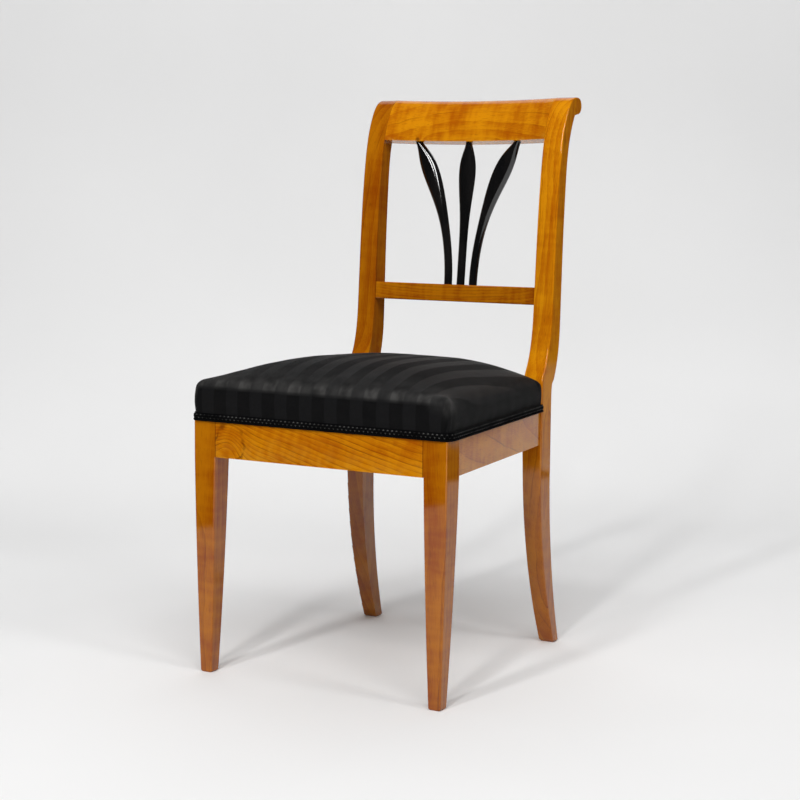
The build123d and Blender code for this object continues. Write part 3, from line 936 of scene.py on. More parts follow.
@dataclass
class WoodFrame:
    """Legs, posts and rails of the chair, each sawn from its own log.

    Attributes:
        post_joint: How far from the middle the rails meet the posts.
        leg_joint: How far from the middle the front rail meets the legs.
    """

    post_joint: float = 0.1475
    leg_joint: float = 0.1775

    def leg_cuts(self) -> dict[str, LogCut]:
        """How the legs and posts were sawn.

        Returns:
            The cuts by the names of the pieces.
        """
        # Each foot share paints shade on the lower part of its leg or post.
        return {
            "left_front_leg": LogCut(
                (0.05, 0.02, 1.0), (-0.03, 0.09, 0.0), ring_spacing=0.011, sway=0.02, tone=0.87, foot=0.82
            ),
            "right_front_leg": LogCut(
                (-0.04, 0.015, 1.0), (0.03, 0.08, 0.0), ring_spacing=0.009, tone=0.83, foot=0.85
            ),
            "left_back_post": LogCut(
                (0.02, 0.06, 1.0), (-0.09, 0.07, 0.0), ring_spacing=0.012, flame=0.3, tone=0.79, foot=0.85
            ),
            "right_back_post": LogCut(
                (0.03, 0.05, 1.0), (0.05, -0.03, 0.0), ring_spacing=0.011, sway=0.035, flame=0.3,
                tone=1.18, foot=0.62,
            ),
        }

    def rail_cuts(self) -> dict[str, LogCut]:
        """How the rails of the seat and the back were sawn.

        Returns:
            The cuts by the names of the pieces.
        """
        return {
            "front_rail": LogCut(
                (1.0, 0.03, -0.27), (0.05, 0.09, 0.11), ring_spacing=0.0058, sway=0.014,
                figure=(-0.155, -0.0125, -0.018), figure_size=0.028, figure_rise=0.02, rim=0.75, flame=0.4,
                line_depth=0.9, line_width=0.0019, line_choice=0.6, tone=1.08, joint=self.leg_joint,
            ),
            "rear_rail": LogCut((1.0, 0.02, 0.05), (0.0, -0.02, 0.08), tone=0.9, joint=self.post_joint),
            "left_side_rail": LogCut((0.104, 0.99, 0.04), (-0.08, 0.0, 0.03), ring_spacing=0.016, tone=0.8),
            "right_side_rail": LogCut((-0.2, 0.97, -0.1), (0.12, 0.05, 0.03), ring_spacing=0.018, tone=0.97),
            "crest_rail": LogCut(
                (1.0, 0.0, 0.02), (0.0, 0.12, -0.16), ring_spacing=0.0085, sway=0.02,
                figure=(-0.09, -0.033, -0.029), figure_size=0.009, figure_rise=0.008, knot=0.8, flame=0.8,
                line_depth=0.5, line_width=0.0012, line_choice=1.0, tone=1.1, joint=self.post_joint,
            ),
            "mid_rail": LogCut(
                (1.0, 0.03, -0.02), (0.0, 0.03, 0.06), flame=0.8, tone=0.8, joint=self.post_joint
            ),
        }

    def dress(self) -> None:
        """Polish every piece of show wood."""
        finish = PolishedWood()
        for node, cut in {**self.leg_cuts(), **self.rail_cuts()}.items():
            dress_node(node, finish.material(node, cut))


@dataclass
class Splat:
    """Three ebonised bars of the back.

    Attributes:
        nodes: Names of the bars.
    """

    nodes: tuple[str, ...] = ("left_splat_bar", "centre_splat_bar", "right_splat_bar")

    def dress(self) -> None:
        """Stain and polish the bars."""
        material = EbonisedWood().material()
        for node in self.nodes:
            dress_node(node, material)


@dataclass
class HiddenFixings:
    """Corner blocks and tacks inside the seat.

    Attributes:
        corners: Corners of the seat that have a block.
        tacks: Names of the groups of tacks.
    """

    corners: tuple[str, ...] = ("left_front", "right_front", "left_rear", "right_rear")
    tacks: tuple[str, ...] = ("webbing_tacks", "cover_tacks")

    def dress(self) -> None:
        """Give the blocks and the tacks their finishes."""
        beech = RawBeech().material()
        for corner in self.corners:
            dress_node(f"{corner}_corner_block", beech)
        steel = BluedSteel().material()
        for node in self.tacks:
            dress_node(node, steel)


@dataclass
class SeatPlan:
    """Plan of the seat frame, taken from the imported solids.

    Attributes:
        front: Y of the front rail's face.
        rear: Y of the rear rail's back face.
        half_front: Half the width across the front.
        slope: How much half the width loses towards the back, per metre.
        post_inner: X of the posts' inner faces.
        post_front: Y of the posts' front faces.
        clearance: Room between the cloth and the posts.
        corner: Radius of the front corners.
    """

    front: float = field(default_factory=lambda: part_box("front_rail")[0].y)
    rear: float = field(default_factory=lambda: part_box("rear_rail")[1].y)
    half_front: float = 0.217
    slope: float = 0.1044
    post_inner: float = field(default_factory=lambda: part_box("right_back_post")[0].x)
    post_front: float = field(default_factory=lambda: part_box("right_back_post")[0].y)
    clearance: float = 0.0006
    corner: float = 0.012

    def half_width(self, y: Any) -> Any:
        """Half the width of the seat frame at a depth."""
        return self.half_front - self.slope * (y - self.front)

    def front_path(self, proud: float, step: float) -> np.ndarray:
        """Line round both sides and the front, from the left post to the right post.

        Args:
            proud: Distance outside the rails.
            step: Distance between points.

        Returns:
            Rows of X, Y and the outward normal's X and Y.
        """
        radius = self.corner + proud
        lean = math.atan(self.slope)
        reach = radius * math.tan((math.pi / 2 - lean) / 2)
        corner_x = self.half_width(self.front - proud) + proud / math.cos(lean)
        centre = (corner_x - reach, self.front - proud + radius)
        end = self.post_front - self.clearance
        side_normal = np.array((math.cos(lean), math.sin(lean)))
        start = np.array(centre) + radius * side_normal
        along = np.array((-math.sin(lean), math.cos(lean)))
        length = (end - start[1]) / along[1]
        rows = []
        for away in np.linspace(0, centre[0], max(2, round(centre[0] / step)), endpoint=False):
            rows.append((away, self.front - proud, 0.0, -1.0))
        turns = np.linspace(-math.pi / 2, lean, max(6, round(radius * math.pi / 2 / step)), endpoint=False)
        for turn in turns:
            normal = (math.cos(turn), math.sin(turn))
            rows.append((centre[0] + radius * normal[0], centre[1] + radius * normal[1], *normal))
        for away in np.linspace(0, length, max(2, round(length / step))):
            rows.append((*(start + along * away), *side_normal))
        right = np.array(rows)
        left = right[:0:-1] * (-1.0, 1.0, -1.0, 1.0)
        return np.concatenate([left, right])

    def rear_path(self, proud: float, step: float) -> np.ndarray:
        """Line along the back of the rear rail between the posts.

        Args:
            proud: Distance outside the rail.
            step: Distance between points.

        Returns:
            Rows of X, Y and the outward normal's X and Y.
        """
        half = self.post_inner - self.clearance
        across = np.linspace(half, -half, round(2 * half / step))
        return np.array([(x, self.rear + proud, 0.0, 1.0) for x in across])

    def notched_grid(
        self, rows: Sequence[float], lines: Sequence[float], notch: tuple[float, float], proud: float
    ) -> tuple[np.ndarray, list[Face]]:
        """Grid over the seat that leaves out the corners where the posts stand.

        Args:
            rows: Depths of the grid's rows.
            lines: Places across the seat, in metres up to the notches and from there on as the notch plus
                the share of the way to the side.
            notch: X and Y of the notches' corners.
            proud: Distance of the grid's sides outside the rails.

        Returns:
            Points in plan, and the faces between them.
        """
        notch_x, notch_y = notch
        index = -np.ones((len(rows), len(lines)), int)
        points: list[tuple[float, float]] = []
        for j, y in enumerate(rows):
            edge = self.half_width(y) + proud
            for i, line in enumerate(lines):
                size = abs(line)
                if size > notch_x + TINY:
                    if y > notch_y + TINY:
                        continue
                    size = notch_x + (size - notch_x) * (edge - notch_x)
                index[j, i] = len(points)
                points.append((math.copysign(size, line), y))
        corners = [index[:-1, :-1], index[:-1, 1:], index[1:, 1:], index[1:, :-1]]
        quads = np.stack(corners, axis=-1).reshape(-1, 4)
        return np.array(points), [tuple(quad) for quad in quads[quads.min(axis=1) >= 0].tolist()]


def eased_lines(length: float, fine: Sequence[float], coarse: float, both: bool = True) -> np.ndarray:
    """Places along a length, close together near its ends.

    Args:
        length: Length to divide.
        fine: Distances of the close lines from an end.
        coarse: About the distance between the other lines.
        both: Close lines at both ends, or only at the far end.

    Returns:
        Places from 0 to the length.
    """
    far = [length - step for step in fine]
    near = list(fine) if both else [0.0]
    count = max(2, round((far[-1] - near[-1]) / coarse) + 1)
    return np.array(sorted({*near, *np.linspace(near[-1], far[-1], count), *far}))


def mesh_points(mesh: bpy.types.Mesh) -> np.ndarray:
    """Points of a mesh, one row each.

    Args:
        mesh: The mesh to read.

    Returns:
        Rows of X, Y and Z.
    """
    flat = np.empty(len(mesh.vertices) * 3, np.float32)
    mesh.vertices.foreach_get("co", flat)
    return flat.reshape(-1, 3).astype(float)


def border_loop(faces: Sequence[Sequence[int]]) -> list[int]:
    """Border of a sheet of faces, in order round it.

    Args:
        faces: Faces that all turn the same way.

    Returns:
        The border's points in order, turning as the faces do.
    """
    edges = {(a, b) for face in faces for a, b in zip(face, (*face[1:], face[0]))}
    after = {a: b for a, b in edges if (b, a) not in edges}
    start = min(after)
    loop = [start]
    while after[loop[-1]] != start:
        loop.append(after[loop[-1]])
    return loop


def loop_normals(loop: np.ndarray) -> np.ndarray:
    """Outward normals of a closed loop in plan that turns to the left.

    Args:
        loop: Rows of X and Y.

    Returns:
        Rows of the normals' X and Y.
    """
    along = np.roll(loop, -1, axis=0) - np.roll(loop, 1, axis=0)
    along /= np.linalg.norm(along, axis=1)[:, None]
    return np.column_stack([along[:, 1], -along[:, 0]])


def ring_faces(first: np.ndarray, second: np.ndarray) -> list[Face]:
    """Faces between two closed rings of points.

    Args:
        first: Points of the first ring.
        second: Points of the second ring.

    Returns:
        The faces, each of four points.
    """
    rows = np.stack([first, second, np.roll(second, -1), np.roll(first, -1)], axis=-1)
    return [tuple(row) for row in rows.tolist()]


@dataclass(frozen=True)
class SeatWearAndPaintedLight:
    """Where the cover is rubbed grey, where light is painted on it in the same grey, and where its satin
    stripes get a painted sheen.

    Attributes:
        plan: Plan of the seat frame.
        proud: How far the cover stands outside the rails.
        edge: Wear along the front edge, with a painted highlight along its roll.
        edge_rise: Distances from the front face between which that wear comes up.
        edge_fall: Distances from the front face between which it dies away, the far one first.
        near: Painted sheen on the top behind the front edge, mixed in as the worn grey.
        near_rise: Distances between which that wear comes up.
        near_fall: Distances between which it dies away, the far one first.
        side: Wear along all edges.
        side_place: How far inside the outline that wear lies.
        side_spread: How far it spreads.
        corner: Wear of the right front corner.
        corner_place: How far inside the corner that wear lies, in X and Y.
        corner_spread: How far it spreads.
        wall_fade: Power by which the wear fades down the wall.
        front_wall_painted_light: Painted light all over the front wall, mixed in as the worn grey.
        facing: Least share of a normal that points forwards on the front wall.
        painted_sheen_low: Painted sheen of the stripes on the side walls.
        painted_sheen_front: How much more painted sheen they get on the front wall.
        front_reach: Distances behind the front rail's face between which the front wall's painted sheen comes
            up.
        top_reach: Heights against the rear edge between which the top's painted sheen comes up.
        top_middle: Painted sheen in the middle of the top.
        top_width: Distance across the top over which the painted sheen grows by 1.
        top_least: Least share of the painted sheen on the top.
    """

    plan: SeatPlan
    proud: float
    edge: float = 0.6
    edge_rise: tuple[float, float] = (0.0002, 0.0012)
    edge_fall: tuple[float, float] = (0.015, 0.005)
    near: float = 0.28
    near_rise: tuple[float, float] = (0.0, 0.002)
    near_fall: tuple[float, float] = (0.07, 0.02)
    side: float = 0.1
    side_place: float = 0.005
    side_spread: float = 0.003
    corner: float = 0.75
    corner_place: tuple[float, float] = (0.012, 0.01)
    corner_spread: float = 0.016
    wall_fade: int = 6
    front_wall_painted_light: float = 0.03
    facing: float = 0.9
    painted_sheen_low: float = 0.1
    painted_sheen_front: float = 0.9
    front_reach: tuple[float, float] = (0.012, 0.004)
    top_reach: tuple[float, float] = (-0.012, 0.004)
    top_middle: float = 0.8
    top_width: float = 0.4
    top_least: float = 0.4

    def rub(self, places: np.ndarray, depth: np.ndarray) -> np.ndarray:
        """How worn the cloth is, with painted highlight and sheen mixed in: most along the front edge and at
        the right front corner.

        Args:
            places: Rows of X and Y.
            depth: Distance of each place from the outline.

        Returns:
            The wear from 0 to 1.
        """
        plan = self.plan
        x, y = places.T
        inward = y - plan.front + self.proud
        edge = ramp(inward, *self.edge_rise) * ramp(inward, *self.edge_fall)
        near = ramp(inward, *self.near_rise) * ramp(inward, *self.near_fall)
        side = np.exp(-(((depth - self.side_place) / self.side_spread) ** 2))
        from_corner = np.hypot(
            x - plan.half_front + self.corner_place[0], y - plan.front - self.corner_place[1]
        )
        corner = np.exp(-((from_corner / self.corner_spread) ** 2))
        return np.clip(self.edge * edge + self.near * near + self.side * side + self.corner * corner, 0, 1)

    def wall_wear_and_painted_light(self, edge_wear_and_painted_light: np.ndarray, normals: np.ndarray, share: float) -> np.ndarray:
        """How worn the wall is below the edge, with painted light on the front wall.

        Args:
            edge_wear_and_painted_light: Wear and painted highlight at the edge above.
            normals: Outward normals in plan.
            share: How far down the wall, from 0 to 1.

        Returns:
            The wear from 0 to 1.
        """
        faces_front = normals[:, 1] < -self.facing
        least = np.where(faces_front, self.front_wall_painted_light, 0.0)
        return np.maximum(edge_wear_and_painted_light * (1 - share) ** self.wall_fade, least)

    def painted_sheen(self, places: np.ndarray, edge_rear: float) -> np.ndarray:
        """Painted sheen of the satin stripes: most on the right of the top, hardly at the sides.

        Args:
            places: Rows of X, Y and Z.
            edge_rear: Height of the top edge at the rear.

        Returns:
            The painted sheen from 0 to 1.
        """
        x, y, z = places.T
        low, high = self.top_reach
        top = ramp(z, edge_rear + low, edge_rear + high)
        top *= np.clip(self.top_middle + x / self.top_width, self.top_least, 1)
        far, near = self.front_reach
        front = ramp(y, self.plan.front + far, self.plan.front + near)
        return np.maximum(top, self.painted_sheen_low + self.painted_sheen_front * front)


@dataclass
class SeatCushion:
    """Stuffed seat under its striped cover.

    Attributes:
        plan: Plan of the seat frame.
        proud: How far the cover stands outside the rails.
        foot: Height of the cover's lower edge.
        floor: Height of the base cloth that the stuffing lies on.
        braid_top: Height of the braid's upper edge.
        held_below: Height up to which the wall stays as modelled while the stuffing swells.
        smooth_below: Height up to which the wall has no lumps.
        edge_front: Height of the top edge at the front.
        edge_rear: Height of the top edge at the rear.
        rise: Rise of the crown before it swells.
        fullness: Exponent of the crown.
        roll: Radius of the top edge.
        post_roll: Radius of the edge against the posts.
        post_reach: How far from the posts that radius holds.
        notch_slack: How far past the clearance a point still counts as on a notch's edge.
        under_slack: How far above the base cloth a point may still lie on the underside.
        swell: How far the sides swell.
        skin: Thickness of the cover's skirt.
        pressure: Pressure of the stuffing while it swells.
        swell_cap: Farthest that a point may move.
        frames: Steps of the simulation.
        spacing: Distance between the grid's lines.
        fine_lines: Distances of the close lines from the edges.
        wall_rings: Rings of points down the wall.
        lumps: Lumps of the stuffing per metre, with their height.
        tuck_pitch: Distance between the tacks' pulls.
        pull_depth: Depth of the pulls.
        pull_height: How far up the wall they reach.
        tuck_depth: Depth of the tucks at the front corners.
        tuck_place: How far behind the front rail's face they lie.
        tuck_width: How wide they are.
        tuck_top: Height at which they end.
        tuck_fade: Height over which they deepen.
        tuck_inset: How far inside the frame's width they start.
    """

    plan: SeatPlan
    proud: float = 0.0014
    foot: float = 0.3866
    floor: float = 0.4157
    braid_top: float = 0.399
    held_below: float = 0.401
    smooth_below: float = 0.4005
    edge_front: float = 0.448
    edge_rear: float = 0.433
    rise: float = 0.039
    fullness: float = 3.4
    roll: float = 0.014
    post_roll: float = 0.008
    post_reach: float = 0.012
    notch_slack: float = 0.0002
    under_slack: float = 0.001
    swell: float = 0.0015
    skin: float = 0.0011
    pressure: float = 4.0
    swell_cap: float = 0.004
    frames: int = 20
    spacing: float = 0.006
    fine_lines: tuple[float, ...] = (0.0, 0.0006, 0.0016, 0.0032, 0.0054, 0.0082, 0.0116, 0.0155)
    wall_rings: int = 12
    lumps: tuple[tuple[float, float], ...] = ((17.0, 0.00072), (55.0, 0.00036))
    tuck_pitch: float = 0.038
    pull_depth: float = 0.0009
    pull_height: float = 0.024
    tuck_depth: float = 0.0009
    tuck_place: float = 0.011
    tuck_width: float = 0.003
    tuck_top: float = 0.447
    tuck_fade: float = 0.02
    tuck_inset: float = 0.006

    def grid(self) -> tuple[np.ndarray, np.ndarray, list[Face]]:
        """Plan grid of the top, cut out round the posts.

        Returns:
            Points in plan, their distances from the outline and the faces.
        """
        plan = self.plan
        notch = (plan.post_inner - plan.clearance, plan.post_front - plan.clearance)
        front = plan.front - self.proud
        rear = plan.rear + self.proud
        fore = eased_lines(notch[1] - front, self.fine_lines, self.spacing) + front
        aft = eased_lines(rear - notch[1], self.fine_lines, self.spacing, both=False) + notch[1]
        inner = eased_lines(notch[0], self.fine_lines, self.spacing, both=False)
        outer_length = plan.half_width(front) + self.proud - notch[0]
        outer = eased_lines(outer_length, self.fine_lines, self.spacing) / outer_length
        half_lines = [*inner, *(notch[0] + outer[1:])]
        lines = [-line for line in half_lines[:0:-1]] + half_lines
        points, faces = plan.notched_grid([*fore, *aft[1:]], lines, notch, self.proud)
        settled = [self.settle(abs(x), y, notch, front, rear) for x, y in points]
        depths, sizes, moved = np.array(settled).T
        return np.column_stack([np.copysign(sizes, points[:, 0]), moved]), depths, faces

    def settle(
        self, x: float, y: float, notch: tuple[float, float], front: float, rear: float
    ) -> tuple[float, float, float]:
        """Round a grid point's corner and measure its distance from the outline.

        Args:
            x: Distance from the middle.
            y: Depth of the point.
            notch: X and Y of the notch for the post.
            front: Depth of the front face.
            rear: Depth of the rear face.

        Returns:
            The distance from the outline, then X and Y.
        """
        radius = self.plan.corner + self.proud
        edge = self.plan.half_width(y) + self.proud
        from_side = radius - (edge - x)
        from_front = radius - (y - front)
        if from_side > 0 and from_front > 0:
            most = max(from_side, from_front)
            share = most / math.hypot(from_side, from_front)
            return radius - most, x - from_side * (1 - share), y + from_front * (1 - share)
        away = [edge - x, y - front, rear - y]
        if y > notch[1]:
            away.append(notch[0] - x)
        elif x > notch[0]:
            away.append(notch[1] - y)
        else:
            away.append(math.hypot(notch[0] - x, notch[1] - y))
        return max(min(away), 0.0), x, y

    def crown(self, x: np.ndarray, y: np.ndarray) -> np.ndarray:
        """Height of the crown before its edges are rolled.

        Args:
            x: Places across the seat.
            y: Depths of the places.

        Returns:
            The heights.
        """
        plan = self.plan
        share = ramp(y, plan.front, plan.rear)
        across = np.clip(np.abs(x) / plan.half_width(y), 0, 1)
        along = np.abs(2 * share - 1)
        edge = self.edge_front + (self.edge_rear - self.edge_front) * share
        return edge + self.rise * (1 - along**self.fullness) * (1 - across**self.fullness)

    def top_points(self, places: np.ndarray, depth: np.ndarray) -> np.ndarray:
        """Points of the top with its edges rolled.

        Args:
            places: Rows of X and Y.
            depth: Distance of each place from the outline.

        Returns:
            Rows of X, Y and Z.
        """
        x, y = places.T
        by_post = self.plan.post_front - self.post_reach, self.plan.post_inner - self.post_reach
        near_post = (y > by_post[0]) & (np.abs(x) > by_post[1])
        roll = np.where(near_post, self.post_roll, self.roll)
        drop = roll - np.sqrt(np.maximum(roll**2 - np.maximum(roll - depth, 0) ** 2, 0))
        return np.column_stack([x, y, self.crown(x, y) - drop])

    def wall(self, border: np.ndarray, wear: SeatWearAndPaintedLight) -> list[tuple[np.ndarray, np.ndarray, np.ndarray]]:
        """Rings of the wall from the top edge down to its foot, then up inside the skirt.

        Args:
            border: Points of the top edge.
            wear: Where the cover is rubbed and where light is painted on it.

        Returns:
            For each ring its points, their places on the cloth and their wear with painted light.
        """
        edge, top = border[:, :2], border[:, 2]
        none = np.zeros(len(border))
        normals = loop_normals(edge)
        at_notch = self.at_notch(border)
        foot = np.where(at_notch, self.floor, self.foot)
        edge_wear_and_painted_light = wear.rub(edge, none)
        rings = []
        for step in range(1, self.wall_rings + 1):
            share = step / self.wall_rings
            height = top + (foot - top) * share
            bulge = self.swell * np.sin(math.pi * ramp(height, self.braid_top, top))
            bulge = np.where(at_notch, 0.0, bulge)
            ring = np.column_stack([edge + normals * bulge[:, None], height])
            cloth = edge + normals * (top - height)[:, None]
            rings.append((ring, cloth, wear.wall_wear_and_painted_light(edge_wear_and_painted_light, normals, share)))
        inside = edge - normals * self.skin
        for height in (foot, none + self.floor):
            rings.append((np.column_stack([inside, height]), inside, none))
        return rings

    def build(self) -> bpy.types.Object:
        """Model the cushion, let it swell, and finish its surface.

        Returns:
            The finished cushion.
        """
        plan_points, depth, top_faces = self.grid()
        loop = border_loop(top_faces)
        wear = SeatWearAndPaintedLight(self.plan, self.proud)
        top = self.top_points(plan_points, depth)
        on_border = np.zeros(len(top), bool)
        on_border[loop] = True
        under = np.column_stack([plan_points, np.full(len(top), self.floor)])[~on_border]
        parts = [(top, plan_points, wear.rub(plan_points, depth)), *self.wall(top[loop], wear)]
        walls = len(top) + np.arange(len(loop) * (len(parts) - 1)).reshape(-1, len(loop))
        rings = [np.array(loop), *walls]
        parts.append((under, under[:, :2], np.zeros(len(under))))
        faces = list(top_faces)
        for upper, lower in zip(rings, rings[1:]):
            faces += ring_faces(upper, lower)
        below = rings[-1][-1] + 1 + np.arange(len(top)) - np.cumsum(on_border)
        below[loop] = rings[-1]
        faces += [tuple(below[list(face[::-1])].tolist()) for face in top_faces]
        places, cloth, rubbed = (np.concatenate(rows) for rows in zip(*parts))
        cushion = new_piece("seat_cushion", places, faces)
        store_values(cushion, CLOTH_PLACE, cloth)
        store_values(cushion, RUBBED_AND_PAINTED_LIGHT, rubbed)
        # Painted sheen of the satin stripes, by place.
        store_values(cushion, SATIN_PAINTED_SHEEN, wear.painted_sheen(places, self.edge_rear))
        held = self.at_notch(places) | (places[:, 2] < self.held_below)
        held[rings[-2][0] :] = True
        self.inflate(cushion, held)
        self.settle_surface(cushion)
        smooth = cushion.modifiers.new("smooth", "SUBSURF")
        smooth.levels = smooth.render_levels = 1
        return cushion

    def at_notch(self, points: np.ndarray) -> np.ndarray:
        """Which points lie on the edges that meet the posts.

        Args:
            points: Rows of X, Y and Z.

        Returns:
            True for each point that does.
        """
        plan = self.plan
        tight = plan.clearance + self.notch_slack
        past_inner = np.abs(points[:, 0]) - plan.post_inner
        past_front = points[:, 1] - plan.post_front
        by_front = (np.abs(past_front) < tight) & (past_inner > -tight)
        by_inner = (np.abs(past_inner) < tight) & (past_front > -tight)
        return by_front | by_inner

    def inflate(self, cushion: bpy.types.Object, held: np.ndarray) -> None:
        """Let the stuffing press the cover outwards, and keep the result in the mesh.

        Args:
            cushion: The modelled cushion.
            held: Which points stay where they are.
        """
        pins = cushion.vertex_groups.new(name="held")
        pins.add(np.flatnonzero(held).tolist(), 1.0, "REPLACE")
        cloth = cushion.modifiers.new("swell", "CLOTH")
        cloth.settings.quality = 6
        cloth.settings.mass = 0.3
        cloth.settings.tension_stiffness = 25
        cloth.settings.compression_stiffness = 25
        cloth.settings.bending_stiffness = 2
        cloth.settings.use_pressure = True
        cloth.settings.uniform_pressure_force = self.pressure
        cloth.settings.effector_weights.gravity = 0
        cloth.settings.vertex_group_mass = pins.name
        cloth.point_cache.frame_start = 1
        cloth.point_cache.frame_end = self.frames
        scene = bpy.context.scene
        for number in range(1, self.frames + 1):
            scene.frame_set(number)
        shaped = cushion.evaluated_get(bpy.context.evaluated_depsgraph_get())
        rest = mesh_points(cushion.data)
        shift = mesh_points(shaped.data) - rest
        length = np.maximum(np.linalg.norm(shift, axis=1), TINY)
        shift *= (np.minimum(length, self.swell_cap) / length)[:, None]
        cushion.modifiers.remove(cloth)
        scene.frame_set(1)
        cushion.data.vertices.foreach_set("co", (rest + shift).astype(np.float32).ravel())
        cushion.vertex_groups.remove(pins)
        LOG.info("cushion swelled by up to %.1f mm", 1000 * float(length.max()))

    def settle_surface(self, cushion: bpy.types.Object) -> None:
        """Add the uneven stuffing, the tucks at the corners and the pull of the tacks.

        Args:
            cushion: The swollen cushion.
        """
        plan = self.plan
        mesh = cushion.data
        mesh.update()
        for vertex in mesh.vertices:
            place = vertex.co
            underneath = place.z < self.floor + self.under_slack and vertex.normal.z < -0.5
            if place.z < self.smooth_below or underneath:
                continue
            lump = sum(noise.noise(place * scale) * size for scale, size in self.lumps)
            low = max(0.0, 1 - (place.z - self.braid_top) / self.pull_height)
            along = place.x if place.y < plan.front + plan.corner else place.y
            pull = self.pull_depth * low * (0.5 + 0.5 * math.cos(2 * math.pi * along / self.tuck_pitch))
            tuck = 0.0
            if abs(place.x) > plan.half_front - self.tuck_inset:
                off = (place.y - plan.front - self.tuck_place) / self.tuck_width
                depth = min(1.0, max(0.0, (self.tuck_top - place.z) / self.tuck_fade))
                tuck = self.tuck_depth * depth * math.exp(-(off**2))
            vertex.co = place + vertex.normal * (lump - pull - tuck)

    def dress(self) -> None:
        """Build the cushion and cover it with the striped cloth."""
        cushion = self.build()
        dress(cushion, StripedCloth().material())
        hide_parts("seat_cover", "seat_stuffing")


class TubeBundle:
    """Collects cords and strips as closed tubes for one mesh."""

    def __init__(self) -> None:
        """Start with nothing."""
        self.points: list[np.ndarray] = []
        self.worn: list[np.ndarray] = []
        self.faces: list[Face] = []
        self.count = 0

    def add_ring_rows(self, rows: np.ndarray, worn: np.ndarray | None = None) -> None:
        """Add a tube given as rows of closed rings, with closed ends.

        Args:
            rows: Points by ring, by place on the ring, by axis.
            worn: Share of painted glint on each ring, where it is.
        """
        rings, sides, _ = rows.shape
        self.worn.append(np.repeat(np.zeros(rings) if worn is None else worn, sides))
        index = np.arange(self.count, self.count + rings * sides).reshape(rings, sides)
        self.points.append(rows.reshape(-1, 3))
        for first, second in zip(index, index[1:]):
            self.faces += ring_faces(first, second)
        self.faces += [tuple(index[0].tolist()), tuple(index[-1][::-1].tolist())]
        self.count += rings * sides

    def add_cord(
        self, line: np.ndarray, radius: float, worn: np.ndarray | None = None, sides: int = 6
    ) -> None:
        """Add a round cord along a line.

        Args:
            line: Points of its middle.
            radius: Radius of the cord.
            worn: Share of painted glint at each point, where it is.
            sides: Sides of its section.
        """
        along = np.gradient(line, axis=0)
        along /= np.linalg.norm(along, axis=1)[:, None]
        side = np.cross(along, (0.0, 0.0, 1.0))
        side /= np.maximum(np.linalg.norm(side, axis=1), TINY)[:, None]
        up = np.cross(side, along)
        turn = np.linspace(0, 2 * math.pi, sides, endpoint=False)
        ring = np.cos(turn)[None, :, None] * side[:, None] + np.sin(turn)[None, :, None] * up[:, None]
        self.add_ring_rows(line[:, None] + radius * ring, worn)

    def piece(self, name: str) -> bpy.types.Object:
        """The collected tubes as one piece, with their shares of painted glint stored on it.

        Args:
            name: Name of the piece.

        Returns:
            The new piece.
        """
        made = new_piece(name, np.concatenate(self.points), self.faces)
        store_values(made, RUBBED_AND_PAINTED_LIGHT, np.concatenate(self.worn))
        return made


@dataclass(frozen=True)
class StrandPair:
    """Two strands of the braid that run in opposite waves.

    Attributes:
        pitch: Length of one wave.
        out: Distance of the strands' middle from the tape.
        out_swing: How far they swing to and from the tape.
        height: Height of the strands' middle above the braid's lower edge.
        height_swing: How far they swing up and down.
        radius: Radius of a strand.
        rubbed: Whether the loops of the first strand get painted glints.
    """

    pitch: float
    out: float
    out_swing: float
    height: float
    height_swing: float
    radius: float
    rubbed: bool = False


@dataclass
class GimpBraid:
    """Black braid round the foot of the cover: a tape, two laced strands and a twisted cord.

    Attributes:
        plan: Plan of the seat frame.
        low: Height of the braid's lower edge.
        height: Height of the braid.
        proud: How far the cover under it stands outside the rails.
        tape: Thickness of the tape.
        section: Outline of the tape, as shares of its thickness and of the braid's height.
        lace: The laced strands.
        twist: The strands of the twisted cord.
        step: Distance between points along the braid.
    """

    plan: SeatPlan
    low: float = 0.386
    height: float = 0.013
    proud: float = 0.0014
    tape: float = 0.0004
    section: tuple[tuple[float, float], ...] = (
        (0.0, 0.04), (1.0, 0.02), (1.4, 0.5), (1.0, 0.98), (0.0, 0.96)
    )
    lace: StrandPair = StrandPair(0.0072, 0.0007, 0.0004, 0.0076, 0.0026, 0.0007, rubbed=True)
    twist: StrandPair = StrandPair(0.0050, 0.0006, 0.0005, 0.0021, 0.0011, 0.0009)
    step: float = 0.0007

    def strand(self, path: np.ndarray, out: np.ndarray, height: np.ndarray) -> np.ndarray:
        """Line that runs a given distance outside a path, a given height above the lower edge."""
        return np.column_stack([path[:, :2] + path[:, 2:] * out[:, None], self.low + height])

    def build(self, name: str, path: np.ndarray) -> bpy.types.Object:
        """Model the braid along a path on the cover.

        Args:
            name: Name of the piece.
            path: Rows of X, Y and the outward normal.

        Returns:
            The braid.
        """
        bundle = TubeBundle()
        legs = np.linalg.norm(np.diff(path[:, :2], axis=0), axis=1)
        travel = np.concatenate([[0.0], np.cumsum(legs)])
        same = np.ones(len(path))
        tape = [
            self.strand(path, out * self.tape * same, share * self.height * same)
            for out, share in self.section
        ]
        bundle.add_ring_rows(np.stack(tape, axis=1))
        for pair in (self.lace, self.twist):
            for phase in (0.0, math.pi):
                turn = 2 * math.pi * travel / pair.pitch + phase
                out = self.tape + pair.out + pair.out_swing * np.cos(turn)
                height = pair.height + pair.height_swing * np.sin(turn)
                # Painted glints where the first laced strand loops.
                worn = np.sin(turn) ** 4 if pair.rubbed and not phase else None
                bundle.add_cord(self.strand(path, out, height), pair.radius, worn)
        return bundle.piece(name)

    def dress(self) -> None:
        """Lay the braid round the front and along the rear rail."""
        material = BraidThread().material()
        for place, run in (("seat", self.plan.front_path), ("rear", self.plan.rear_path)):
            braid = self.build(f"{place}_braid", run(self.proud, self.step))
            dress(braid, material)
            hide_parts(f"{place}_gimp")


